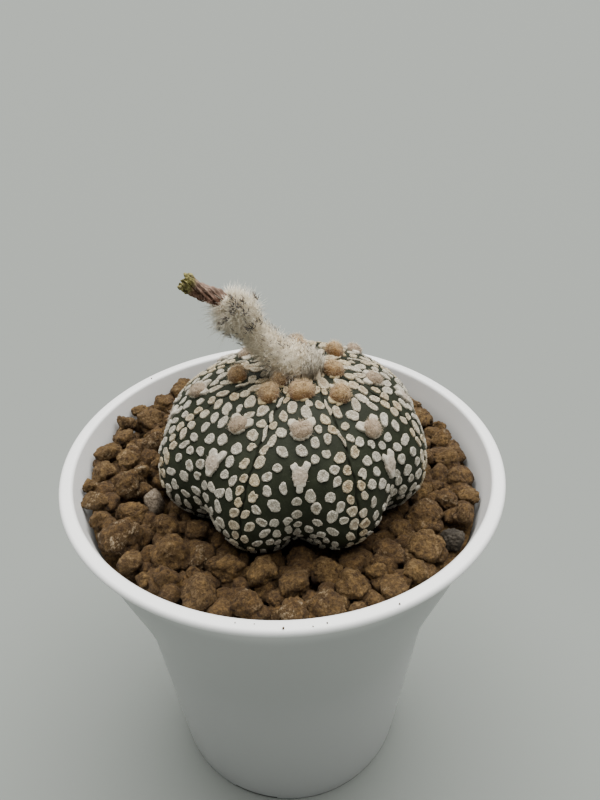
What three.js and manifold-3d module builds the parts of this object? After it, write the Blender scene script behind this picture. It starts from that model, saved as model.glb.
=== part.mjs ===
// Star cactus in a white plastic pot. Millimetres, +Z up, origin in the middle under the pot's foot.
// The plant's front rib faces -Y.
import * as THREE from 'three';
import { mergeVertices } from 'three/addons/utils/BufferGeometryUtils.js';
import { ConvexHull } from 'three/addons/math/ConvexHull.js';
import Module from 'manifold-3d';

const wasm = await Module();
wasm.setup();

const DEGREE = Math.PI / 180;
const GAP = 0.3;

// Pot
const POT_HEIGHT = 94;
const RIM_RADIUS = 50;
const FOOT_RADIUS = 31.3;
const WALL = 1;
const POT_SIDES = 40;
const TAPER = 9.5;
const FLARE = 6.4;
const FLARE_START = 0.5;
const FLARE_END = 0.98;
const LIP_THICKNESS = 1.6;
const LIP_WIDTH = 3.1;
const LIP_FILLET = 2;
const EDGE_ROUND = 0.4;
const FLOOR_ROUND = 1.5;
const WALL_HEIGHTS = [47, 56, 63, 70, 77, 84];
const FLOOR_UNDER = 2;
const FLOOR_TOP = 3.6;
const FOOT_RING_WIDTH = 2.4;
const NOTCH_ANGLE = -109 * DEGREE;
const NOTCH_WIDTH = 12;
const NOTCH_HEIGHT = 1;
const DRAIN_RADIUS = 3.2;
const DRAIN_RING = 17;
const DRAIN_COUNT = 6;
const DRAIN_SIDES = 10;

// Soil
const SOIL_LEVEL = 88.9;
const SOIL_SLOPE = 0.03;
const SOIL_LEAN = 2.2;
const SOIL_UNDER_BODY = 2.2;
const PIT_SIDES = 8;
const GRANULE_SMALL = 2.8;
const GRANULE_LARGE = 4.3;
const GRANULE_SINK = 0.2;
const GRANULE_TRIES = 40000;
const GRANULE_OVERLAP = 0.35;
const GRANULE_SHRINK = 0.45;
const GRANULE_WAIST = 0.84;
const GRANULE_SHOULDER = 0.52;
const MEETING_REACH = 1.7;
const GAP_SHALLOW = 1.6;
const GAP_DEEP = 3.2;

// Cactus body: an ellipse down to the widest ring, and a flatter one from there to the foot
const BODY_CENTRE = new THREE.Vector2(2.2, -1.8);
const CROWN_SHIFT = 1.9;
const CROWN_RADIUS = 3.2;
const CROWN_RISE = 0.9;
const BODY_RADIUS = 30.6;
const WIDEST_HEIGHT = 96.6;
const DOME = 21.4;
const TUCK = 12.1;
const FOOT_SHARE = 0.41;
const RIBS = 8;
const RIB_TURN = [0.6, 2.1, 1.7, 4.1, -0.2, -1.6, -5.3, 1.6];
const VALLEY_DEPTH = 0.222;
const VALLEY_START = 36 * DEGREE;
const VALLEY_RUN = 94 * DEGREE;
const VALLEY_WIDTH = 1.84;
const CREASE_DEPTH = 0.5;
const CREASE_HALF_WIDTH = 0.5;
const CREASE_START = 9;
const CREASE_END = 56;
const CREASE_STEP = 3.9;
const ROOT_OUTLINE = [[9.6, 84], [7.6, 81.5], [6.8, 76], [5.4, 70], [2.6, 66.6]];
const ROOT_TIP = 66;
const ROOT_SIDES = 12;
const FOOT_RINGS = [163, 172, 179.9];
const FOOT_SIDES = 24;

// Woolly buttons along each rib, as distances from the crown, and the white flecks between them
const FIRST_BUTTON = [8.8, 12.6, 7.2, 11.4, 9.2, 5.4, 12.6, 10.4];
const BUTTON_DRIFT = 1.8;
const BUTTON_STEP = 9.2;
const BUTTONS_PER_RIB = 3;
const BUTTON_RADIUS = 2.05;
const BUTTON_RISE = 2.1;
const BUTTON_RISE_LOSS = 0.45;
const FLECK_RADIUS = 1.4;
const FLECK_RISE = 0.75;
const FLECK_GAP = 0.66;
const FLECK_TRIES = 6400;
const FLECK_START = 5.5;
const FLECK_END = 53.5;
const FLECK_LARGE = 1.34;
const EAR_RADIUS = 1.05;
const ROW_START = 12;
const ROW_END = 52;
const ROW_STEP = 2;
const ROW_RADIUS = 1.05;
const ROW_WANDER = 0.5;
const CREASE_CLEAR = 0.15;

// Flower remnant: its foot stands a little in front of the crown's middle, and it leans to the left
const STUB_RADIUS = 4;
const STUB_HEIGHT = 5.4;
const STUB_SIDES = 16;
const STUB_SHIFT = new THREE.Vector2(1.3, -2.3);
const STUB_OUTLINE = [[1, -0.3], [1.03, 0.3], [0.98, 0.62], [0.8, 0.88], [0.4, 1]];
const TUBE_PATH = [
  [4.6, -4, 119.2],
  [1.8, -3.8, 120.9],
  [-2, -3.1, 123.1],
  [-5.3, -2.2, 126.9],
  [-8.3, -1.8, 131],
  [-10.9, -1.8, 133.5],
];
const TUBE_RADII = [3.6, 3.8, 3.3, 2.8, 4.1, 2.4];
const TUBE_SIDES = 14;
const TUBE_RINGS = 16;
const TUFT_DEPTH = 0.5;
const PETAL_PATH = [[-9.4, -1.8, 132.1], [-12.2, -1.8, 134.3], [-15, -1.8, 135.8], [-17.8, -1.8, 137.7]];
const PETAL_RADII = [1.7, 1.75, 1.6, 1.9];
const PETAL_TWIST = 150 * DEGREE;
const PETAL_SIDES = 12;
const PETAL_RINGS = 12;
const PETAL_FOLD = 0.5;
const PETAL_FRAY = 0.55;

// The same draws every time
function seeded(seed) {
  let state = seed;
  return () => {
    state = (state + 0x6d2b79f5) | 0;
    let mixed = Math.imul(state ^ (state >>> 15), 1 | state);
    mixed = (mixed + Math.imul(mixed ^ (mixed >>> 7), 61 | mixed)) ^ mixed;
    return ((mixed ^ (mixed >>> 14)) >>> 0) / 4294967296;
  };
}

function smoothstep(value) {
  const x = Math.min(Math.max(value, 0), 1);
  return x * x * (3 - 2 * x);
}

// Geometry to solid and back
function solidOf(geometry) {
  const bare = geometry.clone();
  bare.deleteAttribute('normal');
  bare.deleteAttribute('uv');
  const merged = mergeVertices(bare, 1e-4);
  return new wasm.Manifold(new wasm.Mesh({
    numProp: 3,
    vertProperties: new Float32Array(merged.attributes.position.array),
    triVerts: new Uint32Array(merged.index.array),
  }));
}

function geometryOf(solid) {
  const mesh = solid.getMesh();
  return indexedGeometry(mesh.vertProperties, Array.from(mesh.triVerts));
}

function indexedGeometry(positions, index) {
  const geometry = new THREE.BufferGeometry();
  geometry.setAttribute('position', new THREE.BufferAttribute(new Float32Array(positions), 3));
  geometry.setIndex(index);
  geometry.computeVertexNormals();
  return geometry;
}

// The largest body of a solid: loose scraps are dropped and sealed hollows are filled
function wholeBody(solid) {
  const bodies = solid.decompose();
  return bodies.reduce((best, body) => (body.volume() > best.volume() ? body : best));
}

// A place on a round ball for a turn and a stretch, which is the natural log of a radius on a flat sheet
function ballPoint(stretch, turn) {
  return new THREE.Vector3().setFromSphericalCoords(1, 2 * Math.atan(Math.exp(stretch)), turn);
}

// Triangles that join each place on the ball to its nearest neighbours, as triples of their numbers
function nearestTriples(ball) {
  const order = new Map(ball.map((spot, number) => [spot, number]));
  return new ConvexHull().setFromPoints(ball).faces.map(({ edge }) => (
    [edge, edge.next, edge.prev].map((side) => order.get(side.head().point))
  ));
}

// A closed skin through points, joined as their places on the ball are
function closedSkin(points, ball) {
  return indexedGeometry(points.flatMap((point) => point.toArray()), nearestTriples(ball).flat());
}

// A profile of [radius, height] turned round the pot's axis
function turned(profile, sides = POT_SIDES) {
  const points = profile.map(([radius, height]) => new THREE.Vector2(radius, height));
  return new THREE.LatheGeometry(points, sides).rotateX(Math.PI / 2);
}

// Rings of points joined into a closed skin, each end closed by a middle point
function lofted(rings, firstMiddle, lastMiddle) {
  const sides = rings[0].length;
  const positions = rings.flat().concat([firstMiddle, lastMiddle]).flatMap((point) => point.toArray());
  const first = rings.length * sides;
  const index = [];
  for (let side = 0; side < sides; side += 1) {
    const next = (side + 1) % sides;
    index.push(first, next, side);
    for (let ring = 0; ring < rings.length - 1; ring += 1) {
      const below = ring * sides;
      const above = below + sides;
      index.push(below + side, below + next, above + next);
      index.push(below + side, above + next, above + side);
    }
    const last = (rings.length - 1) * sides;
    index.push(first + 1, last + side, last + next);
  }
  return indexedGeometry(positions, index);
}

// Pot: its outside radius at a height, straight below and flared above
function potRadius(height) {
  const share = height / POT_HEIGHT;
  return FOOT_RADIUS + TAPER * share + FLARE * smoothstep((share - FLARE_START) / (FLARE_END - FLARE_START));
}

function potInside(height) {
  return potRadius(height) - WALL;
}

function pot() {
  const lipBottom = POT_HEIGHT - LIP_THICKNESS;
  const lipInner = RIM_RADIUS - LIP_WIDTH;
  const filletBottom = lipBottom - LIP_FILLET;
  const outside = WALL_HEIGHTS.map((height) => [potRadius(height), height]);
  const inside = [...WALL_HEIGHTS].reverse().map((height) => [potInside(height), height]);
  const floorRadius = potInside(FLOOR_TOP);
  const profile = [
    [0, FLOOR_UNDER],
    [FOOT_RADIUS - FOOT_RING_WIDTH - EDGE_ROUND, FLOOR_UNDER],
    [FOOT_RADIUS - FOOT_RING_WIDTH, 0],
    [FOOT_RADIUS - EDGE_ROUND, 0],
    [FOOT_RADIUS, EDGE_ROUND],
    ...outside,
    [potRadius(filletBottom), filletBottom],
    [potRadius(filletBottom) + LIP_FILLET / 2, lipBottom - EDGE_ROUND],
    [RIM_RADIUS - EDGE_ROUND, lipBottom],
    [RIM_RADIUS, lipBottom + EDGE_ROUND],
    [RIM_RADIUS - EDGE_ROUND, POT_HEIGHT - EDGE_ROUND],
    [RIM_RADIUS - 3 * EDGE_ROUND, POT_HEIGHT],
    [lipInner + 2 * EDGE_ROUND, POT_HEIGHT],
    [lipInner, POT_HEIGHT - 2 * EDGE_ROUND],
    [potInside(filletBottom), filletBottom],
    ...inside,
    [floorRadius, FLOOR_TOP + FLOOR_ROUND],
    [floorRadius - FLOOR_ROUND, FLOOR_TOP],
    [0, FLOOR_TOP],
  ];
  let body = solidOf(turned(profile));
  const drains = [new THREE.Vector2(0, 0)];
  for (let hole = 0; hole < DRAIN_COUNT; hole += 1) {
    const angle = (hole + 0.5) * 2 * Math.PI / DRAIN_COUNT;
    drains.push(new THREE.Vector2(Math.cos(angle), Math.sin(angle)).multiplyScalar(DRAIN_RING));
  }
  for (const place of drains) {
    const hole = new THREE.CylinderGeometry(DRAIN_RADIUS, DRAIN_RADIUS, FLOOR_TOP * 2, DRAIN_SIDES);
    body = body.subtract(solidOf(hole.rotateX(Math.PI / 2).translate(place.x, place.y, FLOOR_TOP)));
  }
  for (let notch = 0; notch < 4; notch += 1) {
    const cut = new THREE.BoxGeometry(FOOT_RING_WIDTH * 4, NOTCH_WIDTH, NOTCH_HEIGHT * 2);
    cut.translate(FOOT_RADIUS, 0, 0);
    body = body.subtract(solidOf(cut.rotateZ(NOTCH_ANGLE + notch * Math.PI / 2)));
  }
  return geometryOf(body);
}

// Cactus: a point on the smooth skin from the angle down from the crown and the turn round the body.
// Each rib's line of buttons runs down a valley that deepens to the foot, and the creases lie between.
const ribAngles = RIB_TURN.map((turn, rib) => (turn + rib * 360 / RIBS - 90) * DEGREE);

function creaseAngle(rib) {
  const next = ribAngles[(rib + 1) % RIBS] + (rib === RIBS - 1 ? 2 * Math.PI : 0);
  return (ribAngles[rib] + next) / 2;
}

function ribPhase(turn) {
  const round = 2 * Math.PI;
  const ahead = ((turn - ribAngles[0]) % round + round) % round;
  let rib = RIBS - 1;
  while (ahead < ribAngles[rib] - ribAngles[0]) {
    rib -= 1;
  }
  const start = ribAngles[rib] - ribAngles[0];
  const end = rib === RIBS - 1 ? round : ribAngles[rib + 1] - ribAngles[0];
  return round * (ahead - start) / (end - start);
}

function meridian(down) {
  const upper = down < Math.PI / 2;
  const radius = BODY_RADIUS * (upper ? Math.sin(down) : FOOT_SHARE + (1 - FOOT_SHARE) * Math.sin(down));
  const height = WIDEST_HEIGHT + (upper ? DOME : TUCK) * Math.cos(down);
  return [radius, height];
}

function placed(radius, height, turn) {
  const lift = Math.max(height - WIDEST_HEIGHT, -TUCK) / DOME;
  return new THREE.Vector3(
    BODY_CENTRE.x + CROWN_SHIFT * lift * lift + radius * Math.cos(turn),
    BODY_CENTRE.y + radius * Math.sin(turn),
    height,
  );
}

const rootCentre = placed(0, ROOT_TIP, 0);

function skinPoint(down, turn) {
  const [radius, height] = meridian(down);
  const depth = VALLEY_DEPTH * smoothstep((down - VALLEY_START) / VALLEY_RUN);
  const valley = depth * Math.exp(-VALLEY_WIDTH * (1 - Math.cos(ribPhase(turn))) / 2);
  return placed(radius * (1 - valley), height, turn);
}

function skinNormal(down, turn) {
  const step = 0.01;
  const across = skinPoint(down, turn + step).sub(skinPoint(down, turn - step));
  const along = skinPoint(down + step, turn).sub(skinPoint(down - step, turn));
  return along.cross(across).normalize();
}

// Millimetres per radian down the meridian
function downScale(down) {
  const fall = (down < Math.PI / 2 ? DOME : TUCK) * Math.sin(down);
  const run = BODY_RADIUS * (down < Math.PI / 2 ? 1 : 1 - FOOT_SHARE) * Math.cos(down);
  return Math.hypot(fall, run);
}

const SLICES = 360;
const arcLengths = [0];
const stretches = [0];
for (let slice = 1; slice <= SLICES; slice += 1) {
  const middle = (slice - 0.5) * Math.PI / SLICES;
  const length = downScale(middle) * Math.PI / SLICES;
  arcLengths.push(arcLengths[slice - 1] + length);
  stretches.push(stretches[slice - 1] + length / meridian(middle)[0]);
}

function downAtArc(arc) {
  const slice = arcLengths.findIndex((length) => length >= arc);
  return slice * Math.PI / SLICES;
}

// The stretch of a place on the skin, nothing at the widest ring
function stretchAt(down) {
  const exact = Math.min(Math.max(down / Math.PI * SLICES, 0), SLICES);
  const slice = Math.min(Math.floor(exact), SLICES - 1);
  const stretch = stretches[slice] + (exact - slice) * (stretches[slice + 1] - stretches[slice]);
  return stretch - stretches[SLICES / 2];
}

// The places of the woolly buttons: along the ribs, all drawn a little towards the front rib
function buttonPlaces() {
  const random = seeded(11);
  const places = [];
  for (let rib = 0; rib < RIBS; rib += 1) {
    for (let order = 0; order < BUTTONS_PER_RIB; order += 1) {
      const arc = FIRST_BUTTON[rib] + BUTTON_STEP * order + random() - 0.5;
      const size = BUTTON_RADIUS * (1.04 - 0.08 * order + 0.1 * random());
      const rise = BUTTON_RISE - BUTTON_RISE_LOSS * order;
      const down = downAtArc(arc);
      const turn = ribAngles[rib] - BUTTON_DRIFT * Math.cos(ribAngles[rib]) / meridian(down)[0];
      places.push({ down, turn, size, rise, ears: order > 0 });
    }
  }
  return places;
}

function fleckPlaces(buttons) {
  const random = seeded(23);
  const flecks = [];
  const taken = buttons.map((button) => ({ point: skinPoint(button.down, button.turn), size: button.size }));
  const add = (down, turn, size, gap, stretched, lean) => {
    const point = skinPoint(down, turn);
    if (taken.some((other) => other.point.distanceTo(point) < other.size + size + gap)) {
      return;
    }
    taken.push({ point, size });
    flecks.push({ down, turn, size, stretched, lean, seed: Math.floor(random() * 1e6) });
  };
  // Two ears above each older button
  for (const button of buttons.filter((place) => place.ears)) {
    for (const side of [-1, 1]) {
      const reach = button.size + EAR_RADIUS + 0.1;
      const down = button.down - 0.8 * reach / downScale(button.down);
      const turn = button.turn + side * 0.65 * reach / meridian(button.down)[0];
      add(down, turn, EAR_RADIUS, 0, 1.25, side * 0.6);
    }
  }
  // An uneven row along every crease, now on one side of it and now on the other
  for (let rib = 0; rib < RIBS; rib += 1) {
    for (let arc = ROW_START + 2 * random(); arc < ROW_END; arc += ROW_STEP + random()) {
      const down = downAtArc(arc);
      const size = ROW_RADIUS + 0.25 * random();
      const side = random() < 0.5 ? -1 : 1;
      const reach = size + CREASE_HALF_WIDTH + CREASE_CLEAR + ROW_WANDER * random();
      add(down, creaseAngle(rib) + side * reach / meridian(down)[0], size, FLECK_GAP / 2, 1.15, 0);
    }
  }
  // The rest at random, as close as their gaps let them
  for (let attempt = 0; attempt < FLECK_TRIES; attempt += 1) {
    const arc = FLECK_START + (FLECK_END - FLECK_START) * Math.pow(random(), 0.8);
    const down = downAtArc(arc);
    const turn = 2 * Math.PI * random();
    const edge = smoothstep((arc - 4) / 16) * (1 - 0.35 * smoothstep((arc - 34) / 16));
    const size = FLECK_RADIUS * (0.7 + 0.3 * edge) * (0.88 + 0.3 * random());
    const offset = Math.abs(Math.sin((ribPhase(turn) - Math.PI) / 2)) * 2 / RIBS * meridian(down)[0];
    if (arc > CREASE_START && offset < size + CREASE_HALF_WIDTH + CREASE_CLEAR) {
      continue;
    }
    add(down, turn, size, FLECK_GAP * edge + CREASE_CLEAR, 1 + 0.4 * random(), 2.4 * random() - 1.2);
  }
  return flecks;
}

// Skin points of the whole cactus, each with its place on the ball. Beyond the foot they follow the root.
function cactus(buttons, flecks, swell = 0) {
  const skin = [];
  const ball = [];
  const add = (down, turn, rise) => {
    const normal = skinNormal(down, turn);
    skin.push(skinPoint(down, turn).addScaledVector(normal, rise + swell));
    ball.push(ballPoint(stretchAt(down), turn));
  };
  // A ring of points round a place on the skin, at a share of the size, raised above it
  const ring = (place, sides, share, rise) => {
    const random = seeded(place.seed ?? 5);
    const scale = downScale(place.down);
    const radius = meridian(place.down)[0];
    for (let side = 0; side < sides; side += 1) {
      const angle = (side + 0.5 * (random() - 0.5)) * 2 * Math.PI / sides;
      const reach = place.size * share * (0.9 + 0.2 * random());
      const long = reach * Math.cos(angle) * Math.sqrt(place.stretched ?? 1);
      const short = reach * Math.sin(angle) / Math.sqrt(place.stretched ?? 1);
      const lean = place.lean ?? 0;
      const downward = long * Math.cos(lean) - short * Math.sin(lean);
      const sideways = long * Math.sin(lean) + short * Math.cos(lean);
      add(place.down + downward / scale, place.turn + sideways / radius, rise);
    }
  };
  for (const button of buttons) {
    ring(button, 8, 1, 0);
    ring(button, 8, 0.92, button.rise * 0.6);
    ring(button, 8, 0.5, button.rise);
  }
  for (const fleck of flecks) {
    const sides = fleck.size > FLECK_LARGE ? 6 : 5;
    ring(fleck, sides, 1, 0);
    ring(fleck, sides, 0.74, FLECK_RISE);
  }
  for (let rib = 0; rib < RIBS; rib += 1) {
    for (let arc = CREASE_START; arc < CREASE_END; arc += CREASE_STEP) {
      const down = downAtArc(arc);
      const half = CREASE_HALF_WIDTH / meridian(down)[0];
      add(down, creaseAngle(rib), -CREASE_DEPTH * smoothstep((arc - CREASE_START / 2) / CREASE_START));
      add(down, creaseAngle(rib) - half, 0);
      add(down, creaseAngle(rib) + half, 0);
    }
  }
  // The crown's middle, the plain foot and the root
  for (let side = 0; side < RIBS; side += 1) {
    add(CROWN_RADIUS / BODY_RADIUS, side * 2 * Math.PI / RIBS, CROWN_RISE / 2);
  }
  add(1e-6, 0, CROWN_RISE);
  for (const down of FOOT_RINGS) {
    for (let side = 0; side < FOOT_SIDES; side += 1) {
      add(down * DEGREE, creaseAngle(0) + side * 2 * Math.PI / FOOT_SIDES, 0);
    }
  }
  let [lastRadius, lastHeight] = meridian(Math.PI);
  let stretch = stretchAt(Math.PI);
  for (const [radius, height] of ROOT_OUTLINE) {
    stretch += Math.hypot(radius - lastRadius, height - lastHeight) * 2 / (radius + lastRadius);
    for (let side = 0; side < ROOT_SIDES; side += 1) {
      const turn = side * 2 * Math.PI / ROOT_SIDES;
      skin.push(placed(radius + swell, height, turn));
      ball.push(ballPoint(stretch, turn));
    }
    [lastRadius, lastHeight] = [radius, height];
  }
  skin.push(placed(0, ROOT_TIP - swell, 0));
  ball.push(new THREE.Vector3(0, -1, 0));
  return closedSkin(skin, ball);
}

// A rough granule or stone: a twenty-sided ball with its corners moved in, flattened and turned
function pebble(place, size, random, roughness) {
  const geometry = mergeVertices(plainBall());
  const position = geometry.attributes.position;
  for (let corner = 0; corner < position.count; corner += 1) {
    const point = new THREE.Vector3().fromBufferAttribute(position, corner);
    point.multiplyScalar(size * (1 - roughness * random()));
    position.setXYZ(corner, point.x, point.y, point.z);
  }
  geometry.scale(1, 0.8 + 0.2 * random(), 0.75 + 0.2 * random());
  geometry.rotateX(Math.PI * random()).rotateY(Math.PI * random()).rotateZ(Math.PI * random());
  return geometry.translate(place.x, place.y, place.z);
}

function plainBall() {
  const ball = new THREE.IcosahedronGeometry(1, 0);
  ball.deleteAttribute('normal');
  ball.deleteAttribute('uv');
  return ball;
}

// Two odd stones among the brown granules: a pale one by the plant's left side, a dark one at the wall
const STONES = {
  pale_stone: { place: new THREE.Vector3(-28.9, -10.5, 88.9), size: 3.2, seed: 3, roughness: 0.12 },
  dark_stone: { place: new THREE.Vector3(35.1, -23.2, 87.2), size: 2.8, seed: 8, roughness: 0.2 },
};

function stone({ place, size, seed, roughness }, swell = 0) {
  return pebble(place, size + swell, seeded(seed), roughness);
}

// The height of the plant's underside over a place, as if it had no valleys
function underside(x, y) {
  const reach = Math.hypot(x - rootCentre.x, y - rootCentre.y) / BODY_RADIUS;
  const share = (reach - FOOT_SHARE) / (1 - FOOT_SHARE);
  return share < 1 ? WIDEST_HEIGHT - TUCK * Math.sqrt(1 - Math.max(share, 0) ** 2) : Infinity;
}

// The packed soil under the granules: higher to the left, with a dip under the plant
function soilTop(x, y) {
  return Math.min(SOIL_LEVEL - SOIL_SLOPE * x, underside(x, y) - SOIL_UNDER_BODY);
}

// Where the granules that lean on the wall touch it, seen from above
function soilEdge(x, y, lean = SOIL_LEAN) {
  const reach = RIM_RADIUS / Math.hypot(x, y);
  return potInside(soilTop(x * reach, y * reach) + lean) - 2 * GAP;
}

function level(point) {
  return new THREE.Vector2(point.x, point.y);
}

// Granules: random places as close as they pack, clear of the wall, the plant and the odd stones
function granulePlaces(skin) {
  const random = seeded(41);
  const granules = Object.values(STONES).map(({ place, size }) => ({ place, size, stone: true }));
  const low = skin.filter((point) => point.z < WIDEST_HEIGHT + 3);
  const rootRadius = ROOT_OUTLINE[1][0];
  for (let attempt = 0; attempt < GRANULE_TRIES; attempt += 1) {
    const shrink = 1 - GRANULE_SHRINK * attempt / GRANULE_TRIES;
    const size = shrink * (GRANULE_SMALL + (GRANULE_LARGE - GRANULE_SMALL) * random());
    const reach = RIM_RADIUS * Math.sqrt(random());
    const turn = 2 * Math.PI * random();
    const place = new THREE.Vector3(reach * Math.cos(turn), reach * Math.sin(turn), 0);
    place.z = soilTop(place.x, place.y) + GRANULE_SINK * size + 0.6 * (random() - 0.5);
    const fromRoot = Math.hypot(place.x - rootCentre.x, place.y - rootCentre.y);
    if (reach + 0.9 * size > soilEdge(place.x, place.y) || fromRoot < rootRadius + size + 1) {
      continue;
    }
    const meets = (other) => {
      const apart = level(other.place).distanceTo(level(place));
      return apart < other.size + size - GRANULE_OVERLAP;
    };
    if (granules.some(meets)) {
      continue;
    }
    const ceiling = underside(place.x, place.y) - SOIL_UNDER_BODY;
    while (low.some((point) => point.distanceTo(place) < size + 2 * GAP) || place.z + size > ceiling) {
      place.z -= 0.4;
    }
    if (place.z + 0.85 * size < soilTop(place.x, place.y)) {
      continue;
    }
    granules.push({ place, size, stone: false });
  }
  return granules.filter((granule) => !granule.stone);
}

// The places where two or three neighbouring granules meet, nearer to the smaller ones
function meetings(granules) {
  const ball = granules.map(({ place }) => (
    ballPoint(Math.log(level(place).length() / RIM_RADIUS), Math.atan2(place.y, place.x))
  ));
  const found = new Map();
  const meet = (numbers) => {
    const middle = new THREE.Vector2();
    const group = numbers.map((number) => granules[number]);
    const weight = group.reduce((sum, { size }) => sum + 1 / size, 0);
    group.forEach(({ place, size }) => middle.addScaledVector(level(place), 1 / size / weight));
    const reach = Math.max(...group.map(({ place, size }) => level(place).distanceTo(middle) / size));
    if (reach < MEETING_REACH) {
      found.set([...numbers].sort().join(), { middle, count: numbers.length });
    }
  };
  for (const [first, second, third] of nearestTriples(ball)) {
    meet([first, second, third]);
    meet([first, second]);
    meet([second, third]);
    meet([third, first]);
  }
  return [...found.values()];
}

// Soil: one closed skin with each granule raised from the packed soil, and pits for stones and root
function soil(granules) {
  const random = seeded(57);
  const skin = [];
  const ball = [];
  const edge = soilEdge(-1, 0);
  const add = (x, y, z) => {
    const reach = Math.hypot(x, y);
    const within = Math.min(1, (soilEdge(x, y) - GAP) / reach);
    skin.push(new THREE.Vector3(x * within, y * within, z));
    ball.push(ballPoint(Math.log(reach * within / edge), Math.atan2(y, x)));
  };
  const ring = (centre, radius, sides, wobble, heightAt) => {
    const spin = wobble ? 2 * Math.PI * random() : 0;
    for (let side = 0; side < sides; side += 1) {
      const angle = spin + (side + wobble * (random() - 0.5)) * 2 * Math.PI / sides;
      const reach = radius * (1 - wobble * 0.3 * random());
      const x = centre.x + reach * Math.cos(angle);
      const y = centre.y + reach * Math.sin(angle);
      add(x, y, heightAt(x, y));
    }
  };
  for (const { place, size } of granules) {
    const heightNear = (share) => () => place.z + size * (share + 0.25 * random());
    ring(place, size * GRANULE_WAIST, 7, 0.2, heightNear(0.2));
    ring(place, size * GRANULE_SHOULDER, 5, 0.4, heightNear(0.75));
    add(place.x, place.y, heightNear(0.8)());
  }
  for (const { middle, count } of meetings(granules)) {
    add(middle.x, middle.y, soilTop(middle.x, middle.y) - (count === 3 ? GAP_DEEP : GAP_SHALLOW));
  }
  for (const { place, size } of Object.values(STONES)) {
    const pit = size + 2 * GAP;
    const sunk = place.z - soilTop(place.x, place.y);
    ring(place, Math.sqrt(pit * pit - sunk * sunk), PIT_SIDES, 0, soilTop);
    ring(place, pit * 0.6, PIT_SIDES, 0, () => place.z - pit * 0.8);
    add(place.x, place.y, place.z - pit);
  }
  // The soil under the plant and the hole for its root
  for (const radius of [20, 16, ROOT_OUTLINE[0][0] + GAP]) {
    ring(rootCentre, radius, ROOT_SIDES, 0, soilTop);
  }
  for (const [radius, height] of ROOT_OUTLINE.slice(1)) {
    ring(rootCentre, radius + GAP, ROOT_SIDES, 0, () => height - GAP / 2);
  }
  add(rootCentre.x, rootCentre.y, ROOT_TIP - GAP);
  // The rim against the wall, then the wall and the bottom
  for (let side = 0; side < POT_SIDES; side += 1) {
    const turn = side * 2 * Math.PI / POT_SIDES;
    const lean = side % 2 ? SOIL_LEAN : -GAP_SHALLOW;
    const reach = soilEdge(Math.cos(turn), Math.sin(turn), lean);
    const rim = new THREE.Vector3(reach * Math.cos(turn), reach * Math.sin(turn), 0);
    skin.push(rim.setZ(soilTop(rim.x, rim.y) + lean));
    ball.push(ballPoint(Math.log(reach / edge), turn));
  }
  const bottom = FLOOR_TOP + GAP;
  const wallHeights = [...[...WALL_HEIGHTS].reverse(), bottom + FLOOR_ROUND];
  const under = wallHeights.map((height) => [potInside(height) - GAP, height]);
  under.push([potInside(FLOOR_TOP) - FLOOR_ROUND - GAP, bottom]);
  let [lastRadius, lastHeight] = [edge, SOIL_LEVEL];
  let stretch = 0;
  for (const [radius, height] of under) {
    stretch += Math.hypot(radius - lastRadius, height - lastHeight) * 2 / (radius + lastRadius);
    for (let side = 0; side < POT_SIDES; side += 1) {
      const turn = side * 2 * Math.PI / POT_SIDES;
      skin.push(new THREE.Vector3(radius * Math.cos(turn), radius * Math.sin(turn), height));
      ball.push(ballPoint(stretch, turn));
    }
    [lastRadius, lastHeight] = [radius, height];
  }
  skin.push(new THREE.Vector3(0, 0, bottom));
  ball.push(new THREE.Vector3(0, -1, 0));
  return closedSkin(skin, ball);
}

// A tube with ridges or tufts along a path
function shaggy(path, radii, sides, rings, shape) {
  const points = path.map((place) => new THREE.Vector3(...place));
  const curve = new THREE.CatmullRomCurve3(points, false, 'centripetal');
  const outlines = [];
  for (let ring = 0; ring <= rings; ring += 1) {
    const share = ring / rings;
    const centre = curve.getPoint(share);
    const ahead = curve.getTangent(share);
    const up = new THREE.Vector3().crossVectors(ahead, new THREE.Vector3(0, 1, 0)).normalize();
    const side = new THREE.Vector3().crossVectors(up, ahead);
    const exact = share * (radii.length - 1);
    const before = Math.min(Math.floor(exact), radii.length - 2);
    const radius = THREE.MathUtils.lerp(radii[before], radii[before + 1], smoothstep(exact - before));
    const outline = [];
    for (let corner = 0; corner < sides; corner += 1) {
      const { out, forward, twist } = shape(ring, corner, share);
      const angle = corner * 2 * Math.PI / sides + twist;
      outline.push(centre.clone()
        .addScaledVector(up, -(radius + out) * Math.cos(angle))
        .addScaledVector(side, (radius + out) * Math.sin(angle))
        .addScaledVector(ahead, forward));
    }
    outlines.push(outline);
  }
  const start = outlines[0].reduce((sum, point) => sum.add(point), new THREE.Vector3()).divideScalar(sides);
  return lofted(outlines, start, curve.getPoint(1));
}

// The petals: twisted folds that end in a frayed tip
function driedPetals(swell = 0) {
  return shaggy(PETAL_PATH, PETAL_RADII, PETAL_SIDES, PETAL_RINGS, (ring, corner, share) => {
    const atTip = ring === PETAL_RINGS;
    const fold = corner % 2 ? -PETAL_FOLD : 0;
    return {
      out: swell + fold + (atTip ? PETAL_FOLD : 0),
      forward: (atTip ? (corner % 3) * PETAL_FRAY : 0) - (ring === 0 ? swell : 0),
      twist: PETAL_TWIST * share,
    };
  });
}

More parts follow.
